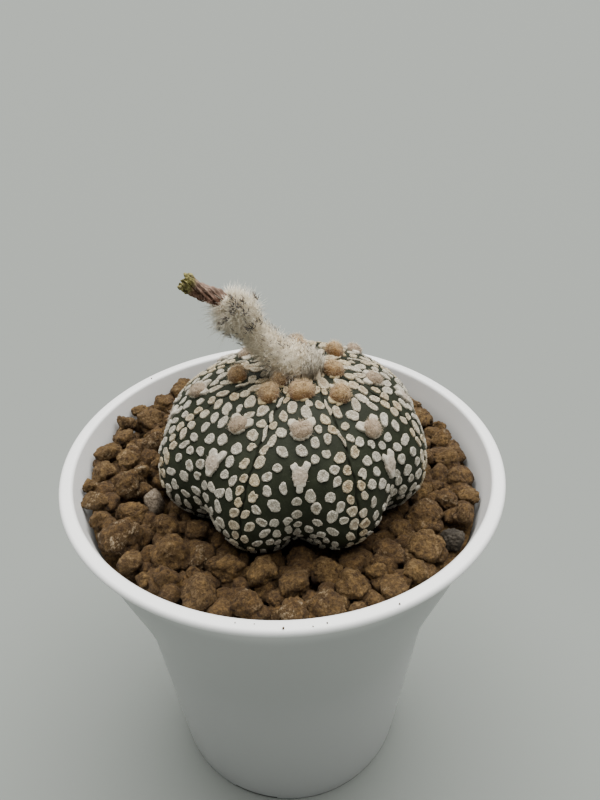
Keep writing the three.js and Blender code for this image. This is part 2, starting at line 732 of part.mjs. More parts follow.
function flowerTube(cactusSkin) {
  const tube = shaggy(TUBE_PATH, TUBE_RADII, TUBE_SIDES, TUBE_RINGS, (ring, corner) => ({
    out: (ring + corner) % 2 ? -TUFT_DEPTH / 2 : TUFT_DEPTH / 2,
    forward: (ring + corner) % 2 ? 0 : TUFT_DEPTH,
    twist: 0,
  }));
  const stubAt = (radius, share, angle) => placed(0, WIDEST_HEIGHT + DOME, 0).add(new THREE.Vector3(
    STUB_SHIFT.x + radius * Math.cos(angle),
    STUB_SHIFT.y + radius * Math.sin(angle),
    STUB_HEIGHT * share,
  ));
  const stubRings = STUB_OUTLINE.map(([across, share], ring) => {
    const corners = Array.from({ length: STUB_SIDES }, (unused, corner) => corner);
    return corners.map((corner) => {
      const radius = STUB_RADIUS * across - ((ring + corner) % 2 ? 0 : TUFT_DEPTH);
      return stubAt(radius, share, corner * 2 * Math.PI / STUB_SIDES);
    });
  });
  const stub = lofted(stubRings, stubAt(0, STUB_OUTLINE[0][1], 0), stubAt(0, 1, 0));
  const joined = solidOf(tube).add(solidOf(stub));
  const seated = joined.subtract(solidOf(cactusSkin)).subtract(solidOf(driedPetals(GAP)));
  return geometryOf(wholeBody(seated));
}

// Assembly
const buttons = buttonPlaces();
const flecks = fleckPlaces(buttons);
const cactusGeometry = cactus(buttons, flecks);
const skinPoints = [];
for (let number = 0; number < cactusGeometry.attributes.position.count; number += 1) {
  skinPoints.push(new THREE.Vector3().fromBufferAttribute(cactusGeometry.attributes.position, number));
}
const granules = granulePlaces(skinPoints);

const potted = new THREE.Group();

function addPiece(name, geometry, color, roughness) {
  const material = new THREE.MeshStandardMaterial({ color, roughness, metalness: 0, flatShading: true });
  const piece = new THREE.Mesh(geometry, material);
  piece.name = name;
  potted.add(piece);
}

addPiece('pot', pot(), 0xf2f3f2, 0.4);
addPiece('soil', soil(granules), 0x7d5c38, 1);
addPiece('pale_stone', stone(STONES.pale_stone), 0x9a9186, 0.95);
addPiece('dark_stone', stone(STONES.dark_stone), 0x4c4943, 0.95);
addPiece('cactus', cactusGeometry, 0x3c4639, 0.75);
addPiece('flower_tube', flowerTube(cactus(buttons, flecks, GAP)), 0xc9bfae, 1);
addPiece('dried_petals', driedPetals(), 0x5f4030, 0.85);

export default potted;
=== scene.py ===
import math

import bpy
import numpy as np
from mathutils import Matrix, Vector, noise


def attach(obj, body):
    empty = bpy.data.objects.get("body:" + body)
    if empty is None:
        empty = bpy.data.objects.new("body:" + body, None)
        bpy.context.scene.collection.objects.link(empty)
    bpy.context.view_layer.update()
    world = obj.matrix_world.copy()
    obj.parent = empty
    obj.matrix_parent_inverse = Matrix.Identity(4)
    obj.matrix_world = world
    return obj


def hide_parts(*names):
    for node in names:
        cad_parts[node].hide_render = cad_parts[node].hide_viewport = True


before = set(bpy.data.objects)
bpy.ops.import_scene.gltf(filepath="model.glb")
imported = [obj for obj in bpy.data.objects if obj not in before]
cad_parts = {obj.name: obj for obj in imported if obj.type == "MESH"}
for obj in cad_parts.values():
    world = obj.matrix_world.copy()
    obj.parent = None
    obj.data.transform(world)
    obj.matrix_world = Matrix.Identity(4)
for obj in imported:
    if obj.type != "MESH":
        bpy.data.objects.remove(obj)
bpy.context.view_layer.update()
bpy.ops.object.select_all(action="DESELECT")

MM = 0.001
TAU = 2 * math.pi

# Pot
POT_HEIGHT = 94
RIM_RADIUS = 50
FOOT_RADIUS = 31.3
WALL = 1
TAPER = 9.5
FLARE = 6.4
FLARE_START = 0.5
FLARE_END = 0.98
LIP_THICKNESS = 1.6
LIP_WIDTH = 3.1
LIP_FILLET = 2.2
FLOOR_UNDER = 2
FLOOR_TOP = 3.6
FOOT_RING_WIDTH = 2.4
NOTCH_ANGLE = math.radians(-109)
NOTCH_WIDTH = 12
NOTCH_HEIGHT = 1
NOTCH_COUNT = 4
DRAIN_RADIUS = 3.2
DRAIN_RING = 17
DRAIN_COUNT = 6
DRAIN_SIDES = 40
POT_SIDES = 160
# Heights in millimetres over which the wall turns from white to dull grey: the filling seen through it, and
# painted shade
DULL_SHADED_WALL = (91, 84)

# Soil
SOIL_LEVEL = 88.9
SOIL_SLOPE = 0.03
SOIL_LEAN = 2.2
GRANULE_SMALL = 2.8
GRANULE_LARGE = 4.3
GRANULE_SINK = 0.2
GRANULE_TRIES = 40000
GRANULE_OVERLAP = 0.2
GRANULE_SHRINK = 0.45
GRANULE_DROP = (0.6, 5)
GRANULE_SHAPES = 10
LOWER_SMALL = 1.7
LOWER_LARGE = 3
LOWER_TRIES = 9000
LOWER_DROP = 0.8
GAP = 0.3
UNDER_BODY_GAP = 0.7
ROOT_CLEARANCE = 14
FILLING_DEPTH = 4
FILLING_SIDES = 96

# Two odd stones: place, size and seed
PALE_STONE = ((-28.9, -10.5, 88.9), 3.2, 3)
DARK_STONE = ((35.1, -23.2, 87.2), 2.8, 8)

# Crumbs left on the lip: direction in degrees, distance from the axis and size
LIP_CRUMBS = (
    (-91, 49.1, 0.25),
    (-82, 48.8, 0.16),
    (-66, 49.1, 0.2),
    (-101, 48.4, 0.14),
    (-97, 48.3, 0.12),
    (-85, 49.1, 0.13),
    (136, 48.2, 0.2),
)

# Cactus body
BODY_X = 2.2
BODY_Y = -1.8
CROWN_SHIFT = 1.9
BODY_RADIUS = 30.6
WIDEST_HEIGHT = 96.6
DOME = 21.4
TUCK = 12.1
FOOT_SHARE = 0.41
RIBS = 8
RIB_TURN = (0.6, 2.1, 1.7, 4.1, -0.2, -1.6, -5.3, 1.6)
VALLEY_DEPTH = 0.222
VALLEY_START = math.radians(36)
VALLEY_RUN = math.radians(94)
VALLEY_WIDTH = 1.84
CREASE_DEPTH = 0.5
CREASE_HALF_WIDTH = 0.19
CREASE_START = 9
# Heights in millimetres over which painted shade darkens the skin towards the crown
SHADED_CROWN = (103, 119)
ROOT_OUTLINE = ((9.6, 84), (7.6, 81.5), (6.8, 76), (5.4, 70), (2.6, 66.6))
ROOT_TIP = 66

# Woolly buttons along each rib, as distances from the crown, and the white flecks between them
FIRST_BUTTON = (8.8, 12.6, 7.2, 11.4, 9.2, 5.4, 12.6, 10.4)
BUTTON_DRIFT = 1.8
BUTTON_STEP = 9.2
BUTTONS_PER_RIB = 3
BUTTON_RADIUS = 2.05
FRONT_BUTTON_WIDTHS = (1.3, 1.12, 1)
FLECK_RADIUS = 1.08
FLECK_GAP = 0.4
FLECK_RISE = 0.3
FLECK_TRIES = 26000
FLECKS_AT_MOST = 1300
FLECK_START = 5.2
FLECK_END = 55
ROW_START = 10
ROW_END = 54
ROW_STEP = 2.2
STREAK_END = 22
STREAK_STEP = 3.6
STREAK_SHARE = 0.35

# Distances from the crown over which the flecks lose their crowding, and over which they grow small
CROWDED = (9, 16)
LOW = (36, 14)

# The newest buttons, beside the flower's foot: distance from the crown, direction and size
NEW_BUTTONS = ((6.6, -128, 1.6), (4.6, 100, 1.4))

# Flower remnant: a brush of wool on the crown, and a tube that leans to the left out of it
STUB_RADIUS = 3.3
STUB_HEIGHT = 4.4
STUB_SHIFT = (1.3, -2.3, 0)
TUBE_PATH = (
    (4.6, -4, 119.2),
    (1.8, -3.8, 120.9),
    (-2, -3.1, 123.1),
    (-5.3, -2.2, 126.9),
    (-8.3, -1.8, 131),
    (-10.9, -1.8, 133.5),
)
TUBE_CORE = (3.2, 3.5, 3.1, 2.7, 3.3, 1.8)
PETAL_PATH = ((-9.4, -1.8, 132.1), (-12.2, -1.8, 134.3), (-15, -1.8, 135.8), (-17.8, -1.8, 137.7))
PETAL_RADII = (1.7, 1.75, 1.6, 1.9)
PETAL_TWIST = math.radians(150)
PETAL_BODY_SHARE = 0.8

# Tufts of dark scale tips on the bulb's front: share of the tube's length, and degrees from its top
BRISTLE_CLUSTERS = (
    (0.89, -52),
    (0.88, -70),
    (0.86, -40),
    (0.97, -38),
    (0.92, -60),
    (0.88, -132),
    (0.89, -106),
    (0.67, -72),
    (0.66, -50),
    (0.8, -56),
)

# Hairs: how many and how long on a knob in each row down the rib, and how many there are elsewhere
KNOB_HAIRS = (760, 420, 120)
KNOB_HAIR_LENGTHS = (0.85, 0.7, 0.5)
TUBE_HAIRS = 9600
BRUSH_HAIRS = 2300
BRISTLES_EACH = 17
CLUSTERS_BEHIND = 12
LONE_BRISTLES = 190
PETAL_HAIRS = 26

# Camera
CAMERA_PLACE = (0, -127.13, 194.3)
CAMERA_YAW = math.radians(1.844)
CAMERA_PITCH = math.radians(34.075)
CAMERA_ROLL = math.radians(-0.726)
CAMERA_LENS = 31.5

# Light
SKY_STRENGTH = 0.17
DAYLIGHT_STRENGTH = 8.5
DAYLIGHT_SPREAD = math.radians(74)
DAYLIGHT_FROM = (0.07, 0.26, 1)


# Draws and rules
def seeded(seed):
    """Draws from 0 to 1, the same ones every time."""
    state = seed
    mask = 0xFFFFFFFF

    def draw():
        nonlocal state
        state = (state + 0x6D2B79F5) & mask
        mixed = ((state ^ (state >> 15)) * (1 | state)) & mask
        mixed = (mixed + (((mixed ^ (mixed >> 7)) * (61 | mixed)) & mask)) & mask ^ mixed
        return ((mixed ^ (mixed >> 14)) & mask) / 2**32

    return draw


def smoothstep(value):
    x = np.clip(value, 0, 1)
    return x * x * (3 - 2 * x)


def lerp(low, high, share):
    return low + (high - low) * share


# The body's surface: a point from the angle down from the crown and the turn round the body
RIB_ANGLES = [math.radians(turn + rib * 360 / RIBS - 90) for rib, turn in enumerate(RIB_TURN)]
RIB_STARTS = np.array([angle - RIB_ANGLES[0] for angle in RIB_ANGLES] + [TAU])


def crease_angle(rib):
    """Halfway between a rib and the next."""
    following = RIB_ANGLES[(rib + 1) % RIBS] + (TAU if rib == RIBS - 1 else 0)
    return (RIB_ANGLES[rib] + following) / 2


def rib_phase(turn):
    """From 0 on one rib to a full turn on the next."""
    ahead = np.mod(np.asarray(turn, dtype=float) - RIB_ANGLES[0], TAU)
    rib = np.clip(np.searchsorted(RIB_STARTS, ahead, side="right") - 1, 0, RIBS - 1)
    return TAU * (ahead - RIB_STARTS[rib]) / (RIB_STARTS[rib + 1] - RIB_STARTS[rib])


def meridian(down):
    """The body's radius and height, before its valleys."""
    down = np.asarray(down, dtype=float)
    upper = down < math.pi / 2
    sine = np.sin(down)
    radius = BODY_RADIUS * np.where(upper, sine, FOOT_SHARE + (1 - FOOT_SHARE) * sine)
    height = WIDEST_HEIGHT + np.where(upper, DOME, TUCK) * np.cos(down)
    return radius, height


def turned_out(centre, radius, turn, height):
    """Points at a radius and a height round a centre."""
    x, y = centre[0] + radius * np.cos(turn), centre[1] + radius * np.sin(turn)
    return np.stack(np.broadcast_arrays(x, y, height), axis=-1).astype(float)


def placed(radius, height, turn):
    """A point round the body's axis, which leans a little towards the crown."""
    lift = np.maximum(np.asarray(height, dtype=float) - WIDEST_HEIGHT, -TUCK) / DOME
    return turned_out((BODY_X + CROWN_SHIFT * lift * lift, BODY_Y), radius, turn, height)


def skin_point(down, turn):
    radius, height = meridian(down)
    depth = VALLEY_DEPTH * smoothstep((down - VALLEY_START) / VALLEY_RUN)
    valley = depth * np.exp(-VALLEY_WIDTH * (1 - np.cos(rib_phase(turn))) / 2)
    return placed(radius * (1 - valley), height, turn)


def skin_normal(down, turn):
    step = 0.01
    across = skin_point(down, turn + step) - skin_point(down, turn - step)
    along = skin_point(down + step, turn) - skin_point(down - step, turn)
    normal = np.cross(along, across)
    return normal / np.linalg.norm(normal, axis=-1, keepdims=True)


def down_scale(down):
    """Millimetres of skin for one radian down from the crown."""
    down = np.asarray(down, dtype=float)
    upper = down < math.pi / 2
    fall = np.where(upper, DOME, TUCK) * np.sin(down)
    run = BODY_RADIUS * np.where(upper, 1, 1 - FOOT_SHARE) * np.cos(down)
    return np.hypot(fall, run)


SLICES = 360
SLICE_EDGES = np.arange(SLICES + 1) * math.pi / SLICES
SLICE_MIDDLES = (np.arange(SLICES) + 0.5) * math.pi / SLICES
ARC_LENGTHS = np.concatenate([[0], np.cumsum(down_scale(SLICE_MIDDLES) * math.pi / SLICES)])


def down_at_arc(arc):
    """The angle down from the crown at a distance along the skin."""
    return float(np.interp(arc, ARC_LENGTHS, SLICE_EDGES))


def radius_at(down):
    return float(meridian(down)[0])


def on_skin(spot, downward, sideways, outward):
    """Points near a spot on the skin, given as offsets in millimetres."""
    down, turn = spot["down"], spot["turn"]
    step = 0.02
    run = np.linalg.norm(skin_point(down, turn + step) - skin_point(down, turn - step)) / (2 * step)
    fall = np.linalg.norm(skin_point(down + step, turn) - skin_point(down - step, turn)) / (2 * step)
    downs = down + downward / fall
    turns = turn + sideways / run
    return skin_point(downs, turns) + skin_normal(downs, turns) * np.asarray(outward)[..., None]


def pad_discs(order, random):
    """The pad under a button as discs round its middle: each has a direction, a distance and a radius."""
    if order == 0:
        tufts = [
            (turn + 0.9 * (random() - 0.5), lerp(0.62, 0.95, random()), lerp(0.18, 0.42, random()))
            for turn in (-1.35, -0.5, 0.4, 1.3)
        ]
        return [(0, 0, 0.84), *tufts]
    spread = lerp(0.62, 0.8, random())
    if order == 1:
        spread += 0.18
        ears = []
        for side in (-1, 1):
            ears.append((math.pi + side * spread, lerp(1.1, 1.28, random()), lerp(0.38, 0.5, random())))
        necks = [(direction, 0.75, 0.45) for direction, _, _ in ears]
        return [(0, 0, 0.9), *ears, *necks, (0, 0.4, 0.62)]
    discs = [(0, 0, lerp(0.68, 0.84, random()))]
    directions = [math.pi - 0.75 * spread, math.pi + 0.75 * spread]
    if random() < 0.3:
        directions.append(math.pi + 0.1)
    for direction in directions:
        length = lerp(1, 1.35, random())
        discs += [(direction, length * 0.55, 0.44), (direction, length, lerp(0.32, 0.42, random()))]
    length = lerp(0.9, 1.4, random())
    return discs + [(0, length * 0.5, 0.55), (0, length, lerp(0.3, 0.4, random()))]


def button_places():
    """The woolly buttons: along the ribs, drifted a little to the front, and close round the crown."""
    random = seeded(11)
    places = []
    for rib in range(RIBS):
        for order in range(BUTTONS_PER_RIB):
            arc = FIRST_BUTTON[rib] + BUTTON_STEP * order + random() - 0.5
            size = BUTTON_RADIUS * (1.04 - 0.08 * order + 0.1 * random())
            down = down_at_arc(arc)
            turn = RIB_ANGLES[rib] - BUTTON_DRIFT * math.cos(RIB_ANGLES[rib]) / radius_at(down)
            wide = FRONT_BUTTON_WIDTHS[order] if rib == 0 else 1
            places.append(dict(down=down, turn=turn, size=size, order=order, wide=wide))
    for arc, angle, size in NEW_BUTTONS:
        places.append(dict(down=down_at_arc(arc), turn=math.radians(angle), size=size, order=0, wide=1))
    for number, button in enumerate(places):
        random = seeded(900 + number)
        button["discs"] = pad_discs(button["order"], random)
        button["lean"] = (0.3 * (random() - 0.6), 0.3 * (random() - 0.5))
    return places


def share_past(arc, start, run):
    """From 0 to 1 over a run down the skin."""
    return float(smoothstep((arc - start) / run))


def fleck_places(buttons):
    """The white flecks: uneven rows beside the creases, and the rest at random, packed close at the crown."""
    random = seeded(23)
    points = np.zeros((FLECKS_AT_MOST, 3))
    sizes = np.zeros(FLECKS_AT_MOST)
    count = 0
    flecks = []

    def keep(point, size):
        nonlocal count
        points[count] = point
        sizes[count] = size
        count += 1

    def add(down, turn, size, gap, long, lean, cream):
        point = skin_point(down, turn)
        apart = np.linalg.norm(points[:count] - point, axis=1)
        if count == FLECKS_AT_MOST or np.any(apart < sizes[:count] + size + gap):
            return
        keep(point, size)
        flecks.append(dict(down=down, turn=turn, size=size, long=long, lean=lean, cream=cream, seed=random()))

    def add_streaks(rib):
        arc = ROW_START + 2 * random()
        while arc < STREAK_END:
            down = down_at_arc(arc)
            turn = crease_angle(rib) + 0.4 * (random() - 0.5) / radius_at(down)
            if random() < STREAK_SHARE:
                long, lean = lerp(4, 6, random()), 0.5 * (random() - 0.5)
                add(down, turn, 0.75, -0.2, long, lean, 0.15 + 0.3 * random())
            arc += STREAK_STEP

    def add_row(rib, side):
        arc = ROW_START + 3 * random()
        while arc < ROW_END:
            down = down_at_arc(arc)
            size = lerp(0.8, 1.15, random()) * (1 - 0.25 * share_past(arc, *LOW))
            reach = side * (0.85 * size + CREASE_HALF_WIDTH + 0.9 * random() ** 2)
            turn = crease_angle(rib) + reach / radius_at(down)
            long = 1 + 0.6 * random() ** 2
            add(down, turn, size, 0.1, long, 1.6 * (random() - 0.5), lerp(0.45, 1, random()))
            arc += ROW_STEP + 1.5 * random()

    for button in buttons:
        for direction, distance, radius in button["discs"]:
            reach = distance * button["size"]
            sideways = reach * math.sin(direction) * button["wide"]
            point = on_skin(button, reach * math.cos(direction), sideways, 0)
            keep(point, radius * button["size"] * (1 + button["wide"]) / 2)
    for rib in range(RIBS):
        add_streaks(rib)
        add_row(rib, -1)
        add_row(rib, 1)
    for attempt in range(FLECK_TRIES):
        late = attempt / FLECK_TRIES
        arc = FLECK_START + (FLECK_END - FLECK_START) * random() ** 0.8
        down = down_at_arc(arc)
        turn = TAU * random()
        crown = 1 - share_past(arc, *CROWDED)
        low = share_past(arc, *LOW)
        size = FLECK_RADIUS * lerp(1, 1.3, crown) * (1 - 0.3 * low) * lerp(0.8, 1.1, random())
        size *= 1 - lerp(0.12, 0.5, crown) * late
        offset = abs(math.sin((float(rib_phase(turn)) - math.pi) / 2)) * 2 / RIBS * radius_at(down)
        long = 1 + 0.6 * random() ** 3 + (0.6 * low + 0.7 * crown) * random() + 0.25 * crown
        lean = (random() - 0.5) * lerp(2.4, 1, max(low, crown))
        cream = 0.55 * crown * random() + 0.1 * crown + 0.12 * random() ** 2
        cream += 0.5 * math.exp(-((offset / 2) ** 2))
        gap = lerp(FLECK_GAP * lerp(0.65, 1.35, random()), 0.06, crown)
        if arc > CREASE_START and offset < 0.85 * size + CREASE_HALF_WIDTH:
            continue
        add(down, turn, size, gap, long, lean, min(cream, 1))
    return flecks


# The pot's outside radius at a height, and the soil's rules
def pot_radius(height):
    share = height / POT_HEIGHT
    flare = float(smoothstep((share - FLARE_START) / (FLARE_END - FLARE_START)))
    return FOOT_RADIUS + TAPER * share + FLARE * flare


def pot_inside(height):
    return pot_radius(height) - WALL


ROOT_CENTRE = placed(0, ROOT_TIP, 0)
LOWER_HALF = np.linspace(math.pi, math.pi / 2, 60)


def from_root(x, y):
    return np.hypot(x - ROOT_CENTRE[0], y - ROOT_CENTRE[1])


def underside(x, y):
    """The height of the plant's underside over a place, with its valleys."""
    points = skin_point(LOWER_HALF, math.atan2(y - BODY_Y, x - BODY_X))
    reaches = from_root(points[:, 0], points[:, 1])
    reach = from_root(x, y)
    if reach > reaches.max():
        return math.inf
    return float(np.interp(reach, reaches, points[:, 2]))


def soil_top(x):
    return SOIL_LEVEL - SOIL_SLOPE * x


def soil_edge(x, y):
    """How far out the soil goes in a direction."""
    return pot_inside(soil_top(x * RIM_RADIUS / math.hypot(x, y)) + SOIL_LEAN) - 2 * GAP


def random_spot(random):
    """A random place inside the rim, after its distance from the axis."""
    reach = RIM_RADIUS * math.sqrt(random())
    turn = TAU * random()
    return reach, reach * math.cos(turn), reach * math.sin(turn)


def granule_places():
    """Granules as close as they pack, clear of the wall, the plant and the odd stones."""
    random = seeded(41)
    corners = np.array([tuple(v.co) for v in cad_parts["cactus"].data.vertices]) / MM
    low = corners[corners[:, 2] < WIDEST_HEIGHT + 3]
    spots = [PALE_STONE[0][:2], DARK_STONE[0][:2]]
    sizes = [PALE_STONE[1], DARK_STONE[1]]
    granules = []
    for attempt in range(GRANULE_TRIES):
        shrink = 1 - GRANULE_SHRINK * attempt / GRANULE_TRIES
        size = shrink * lerp(GRANULE_SMALL, GRANULE_LARGE, random())
        reach, x, y = random_spot(random)
        z = soil_top(x) + GRANULE_SINK * size + 0.6 * (random() - 0.5)
        if reach + 0.9 * size > soil_edge(x, y) or from_root(x, y) < ROOT_OUTLINE[1][0] + size + 1:
            continue
        apart = np.hypot(np.array(spots)[:, 0] - x, np.array(spots)[:, 1] - y)
        if np.any(apart < np.array(sizes) + size - GRANULE_OVERLAP):
            continue
        near = low[np.hypot(low[:, 0] - x, low[:, 1] - y) < size + 2 * GAP]
        ceiling = underside(x, y) - UNDER_BODY_GAP
        highest = z
        while z + 0.85 * size > ceiling or (
            len(near) and np.min(np.linalg.norm(near - (x, y, z), axis=1)) < 0.95 * size + GAP
        ):
            z -= 0.3
        if highest - z > lerp(*GRANULE_DROP, attempt / GRANULE_TRIES):
            continue
        spots.append((x, y))
        sizes.append(size)
        granules.append(((x, y, z), size))
    return granules


def lower_granule_places():
    """A second layer that shows in the gaps of the first."""
    random = seeded(77)
    granules = []
    for _ in range(LOWER_TRIES):
        size = lerp(LOWER_SMALL, LOWER_LARGE, random())
        reach, x, y = random_spot(random)
        z = soil_top(x) - LOWER_DROP + 1.2 * (random() - 0.5)
        z = min(z, underside(x, y) - 0.8 * size - UNDER_BODY_GAP)
        if reach + size > pot_inside(z) - GAP or from_root(x, y) < ROOT_CLEARANCE:
            continue
        if any(math.dist((x, y), spot[:2]) < 0.72 * (size + other) for spot, other in granules):
            continue
        if any(math.dist((x, y), spot[:2]) < size + other for spot, other, _ in (PALE_STONE, DARK_STONE)):
            continue
        granules.append(((x, y, z), size))
    return granules


# Mesh tools
def pick_all():
    bpy.ops.object.mode_set(mode="EDIT")
    bpy.ops.mesh.select_all(action="SELECT")


def back_to_object():
    bpy.ops.object.mode_set(mode="OBJECT")


def corners_of(piece):
    flat = np.empty(len(piece.data.vertices) * 3)
    piece.data.vertices.foreach_get("co", flat)
    return flat.reshape(-1, 3)


def move_corners(piece, places):
    piece.data.vertices.foreach_set("co", np.ascontiguousarray(places, dtype=np.float32).ravel())
    piece.data.update()


def bent_grid(name, columns, rows, place, merge=1e-6, smooth=True):
    """A flat grid bent to place(across, along), both from 0 to 1, with its meeting edges merged."""
    bpy.ops.mesh.primitive_grid_add(x_subdivisions=columns, y_subdivisions=rows, size=2, location=(0, 0, 0))
    piece = bpy.context.object
    piece.name = name
    flat = corners_of(piece)
    across = np.clip((flat[:, 0] + 1) / 2, 0, 1)
    along = np.clip((flat[:, 1] + 1) / 2, 0, 1)
    move_corners(piece, place(across, along) * MM)
    pick_all()
    bpy.ops.mesh.remove_doubles(threshold=merge)
    bpy.ops.mesh.fill_holes(sides=0)
    bpy.ops.mesh.normals_make_consistent(inside=False)
    back_to_object()
    if smooth:
        bpy.ops.object.shade_smooth()
    return piece


def triangles_of(piece):
    piece.data.calc_loop_triangles()
    flat = np.empty(len(piece.data.loop_triangles) * 3, dtype=np.int32)
    piece.data.loop_triangles.foreach_get("vertices", flat)
    return flat.reshape(-1, 3)


def discard(piece):
    bpy.data.objects.remove(piece, do_unlink=True)


def taken_shape(piece):
    """The corners and triangles of a piece that is made only to be copied."""
    shape = (corners_of(piece), triangles_of(piece))
    discard(piece)
    return shape


def joined_copies(name, copies, tints=None):
    """One mesh of many copies, each a pair of corners and triangles, with a tint for each corner."""
    corners, triangles, start = [], [], 0
    for places, faces in copies:
        corners.append(places)
        triangles.append(faces + start)
        start += len(places)
    corners = np.concatenate(corners) * MM
    triangles = np.concatenate(triangles)
    mesh = bpy.data.meshes.new(name)
    mesh.vertices.add(len(corners))
    mesh.vertices.foreach_set("co", corners.astype(np.float32).ravel())
    mesh.loops.add(len(triangles) * 3)
    mesh.loops.foreach_set("vertex_index", triangles.astype(np.int32).ravel())
    mesh.polygons.add(len(triangles))
    mesh.polygons.foreach_set("loop_start", np.arange(0, len(triangles) * 3, 3, dtype=np.int32))
    mesh.polygons.foreach_set("use_smooth", np.ones(len(triangles), dtype=bool))
    mesh.update(calc_edges=True)
    if tints is not None:
        paint(mesh, "tint", np.concatenate(tints))
    piece = bpy.data.objects.new(name, mesh)
    bpy.context.scene.collection.objects.link(piece)
    return piece


def paint(mesh, label, values):
    """A colour on each corner: rows of three numbers."""
    layer = mesh.color_attributes.new(name=label, type="FLOAT_COLOR", domain="POINT")
    rows = np.concatenate([values, np.ones((len(values), 1))], axis=1)
    layer.data.foreach_set("color", rows.astype(np.float32).ravel())


def paint_all(piece, label, value):
    paint(piece.data, label, np.full((len(piece.data.vertices), 3), value))


def extruded_ring(before, after, unit=1):
    """The open edge goes out to a new ring. A ring is a radius and a height."""
    bpy.ops.mesh.extrude_edges_move(TRANSFORM_OT_translate={"value": (0, 0, (after[1] - before[1]) * unit)})
    if abs(after[0] - before[0]) > 1e-6:
        share = after[0] / before[0]
        bpy.ops.transform.resize(value=(share, share, 1), center_override=(0, 0, after[1] * unit))


def ringed_pad(sides, rings):
    """A round pad, closed above and below. A ring is a radius and a height."""
    radius, height = rings[0]
    bpy.ops.mesh.primitive_circle_add(
        vertices=sides, radius=radius, fill_type="NOTHING", location=(0, 0, height)
    )
    piece = bpy.context.object
    bpy.ops.object.transform_apply(location=True)
    pick_all()
    for before, after in zip(rings, rings[1:]):
        extruded_ring(before, after)
    bpy.ops.mesh.edge_face_add()
    bpy.ops.mesh.poke()
    bpy.ops.mesh.select_all(action="SELECT")
    bpy.ops.mesh.fill_holes(sides=0)
    bpy.ops.mesh.normals_make_consistent(inside=False)
    back_to_object()
    return taken_shape(piece)


def outline_point(outline, along):
    """The radius and height a share of the way along an outline."""
    row = along * (len(outline) - 1)
    radii, heights = np.array(outline, dtype=float).T
    steps = np.arange(len(outline))
    return np.interp(row, steps, radii), np.interp(row, steps, heights)


def finish(piece, material, slot, *nodes):
    """The piece gets its material, and takes the place of CAD nodes."""
    piece.data.materials.clear()
    piece.data.materials.append(material)
    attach(piece, "root")
    if nodes:
        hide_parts(*nodes)


# Materials
def new_material(name):
    material = bpy.data.materials.new(name)
    material.use_nodes = True
    return material, material.node_tree


def add_node(tree, kind, **values):
    """A node with its settings and the values of its sockets."""
    node = tree.nodes.new(kind)
    for key, value in values.items():
        if hasattr(node, key):
            setattr(node, key, value)
        else:
            node.inputs[key.replace("_", " ")].default_value = value
    return node


def fill(tree, socket, value):
    """A socket takes another socket's output, a colour or a number."""
    if isinstance(value, bpy.types.NodeSocket):
        tree.links.new(value, socket)
    else:
        socket.default_value = (*value, 1) if isinstance(value, tuple) else value


def object_place(tree):
    """The object's own coordinates."""
    node = tree.nodes.get("place") or add_node(tree, "ShaderNodeTexCoord", name="place")
    return node.outputs["Object"]


def grain(tree, scale, detail=4, rough=0.6):
    """Noise on the object's own coordinates; scale is in lumps a millimetre."""
    texture = add_node(tree, "ShaderNodeTexNoise", Scale=scale / MM, Detail=detail, Roughness=rough)
    tree.links.new(object_place(tree), texture.inputs["Vector"])
    return texture.outputs["Fac"]


def crumbs(tree, scale):
    """Rounded crumbs; scale is in crumbs a millimetre."""
    cells = add_node(tree, "ShaderNodeTexVoronoi", Scale=scale / MM, Detail=1)
    tree.links.new(object_place(tree), cells.inputs["Vector"])
    return sums(tree, "SUBTRACT", 1.0, cells.outputs["Distance"])


def ramp(tree, value, *stops):
    """Colours along a value: stops are (position, (r, g, b))."""
    node = add_node(tree, "ShaderNodeValToRGB")
    elements = node.color_ramp.elements
    while len(elements) < len(stops):
        elements.new(0.5)
    for element, (position, colour) in zip(elements, stops):
        element.position = position
        element.color = (*colour, 1)
    tree.links.new(value, node.inputs["Fac"])
    return node.outputs["Color"]


def mottled(tree, scale, *stops, detail=4, rough=0.6):
    """Colours along a grain."""
    return ramp(tree, grain(tree, scale, detail, rough), *stops)


def rising(tree, value, start, end):
    """Black up to one value and white from the other."""
    return ramp(tree, value, (start, (0, 0, 0)), (end, (1, 1, 1)))


def mixed(tree, first, second, share, blend="MIX"):
    node = add_node(tree, "ShaderNodeMix", data_type="RGBA", blend_type=blend)
    for number, value in ((6, first), (7, second), (0, share)):
        fill(tree, node.inputs[number], value)
    return node.outputs[2]


def shaded(tree, colour, shades):
    return mixed(tree, colour, shades, 1.0, "MULTIPLY")


def sums(tree, operation, first, second):
    node = add_node(tree, "ShaderNodeMath", operation=operation)
    fill(tree, node.inputs[0], first)
    fill(tree, node.inputs[1], second)
    return node.outputs[0]


def times(tree, first, second):
    return sums(tree, "MULTIPLY", first, second)


def painted(tree, label):
    """The red, green and blue of a painted attribute."""
    node = add_node(tree, "ShaderNodeAttribute", attribute_name=label)
    split = add_node(tree, "ShaderNodeSeparateColor")
    tree.links.new(node.outputs["Color"], split.inputs[0])
    return tuple(split.outputs)


def by_height(tree, start, end):
    """From 0 to 1 between two heights in millimetres."""
    split = add_node(tree, "ShaderNodeSeparateXYZ")
    tree.links.new(object_place(tree), split.inputs[0])
    share = add_node(
        tree, "ShaderNodeMapRange", interpolation_type="SMOOTHSTEP",
        From_Min=start * MM, From_Max=end * MM, To_Min=0, To_Max=1,
    )
    tree.links.new(split.outputs["Z"], share.inputs["Value"])
    return share.outputs["Result"]


def surface(tree, colour, relief=None, **values):
    """The colour, the relief as (height, depth in millimetres, strength), and the shader's other values."""
    shader = tree.nodes["Principled BSDF"]
    fill(tree, shader.inputs["Base Color"], colour)
    if relief:
        height, depth, strength = relief
        node = add_node(tree, "ShaderNodeBump", Strength=strength, Distance=depth * MM)
        tree.links.new(height, node.inputs["Height"])
        tree.links.new(node.outputs["Normal"], shader.inputs["Normal"])
    for key, value in values.items():
        shader.inputs[key.replace("_", " ")].default_value = value


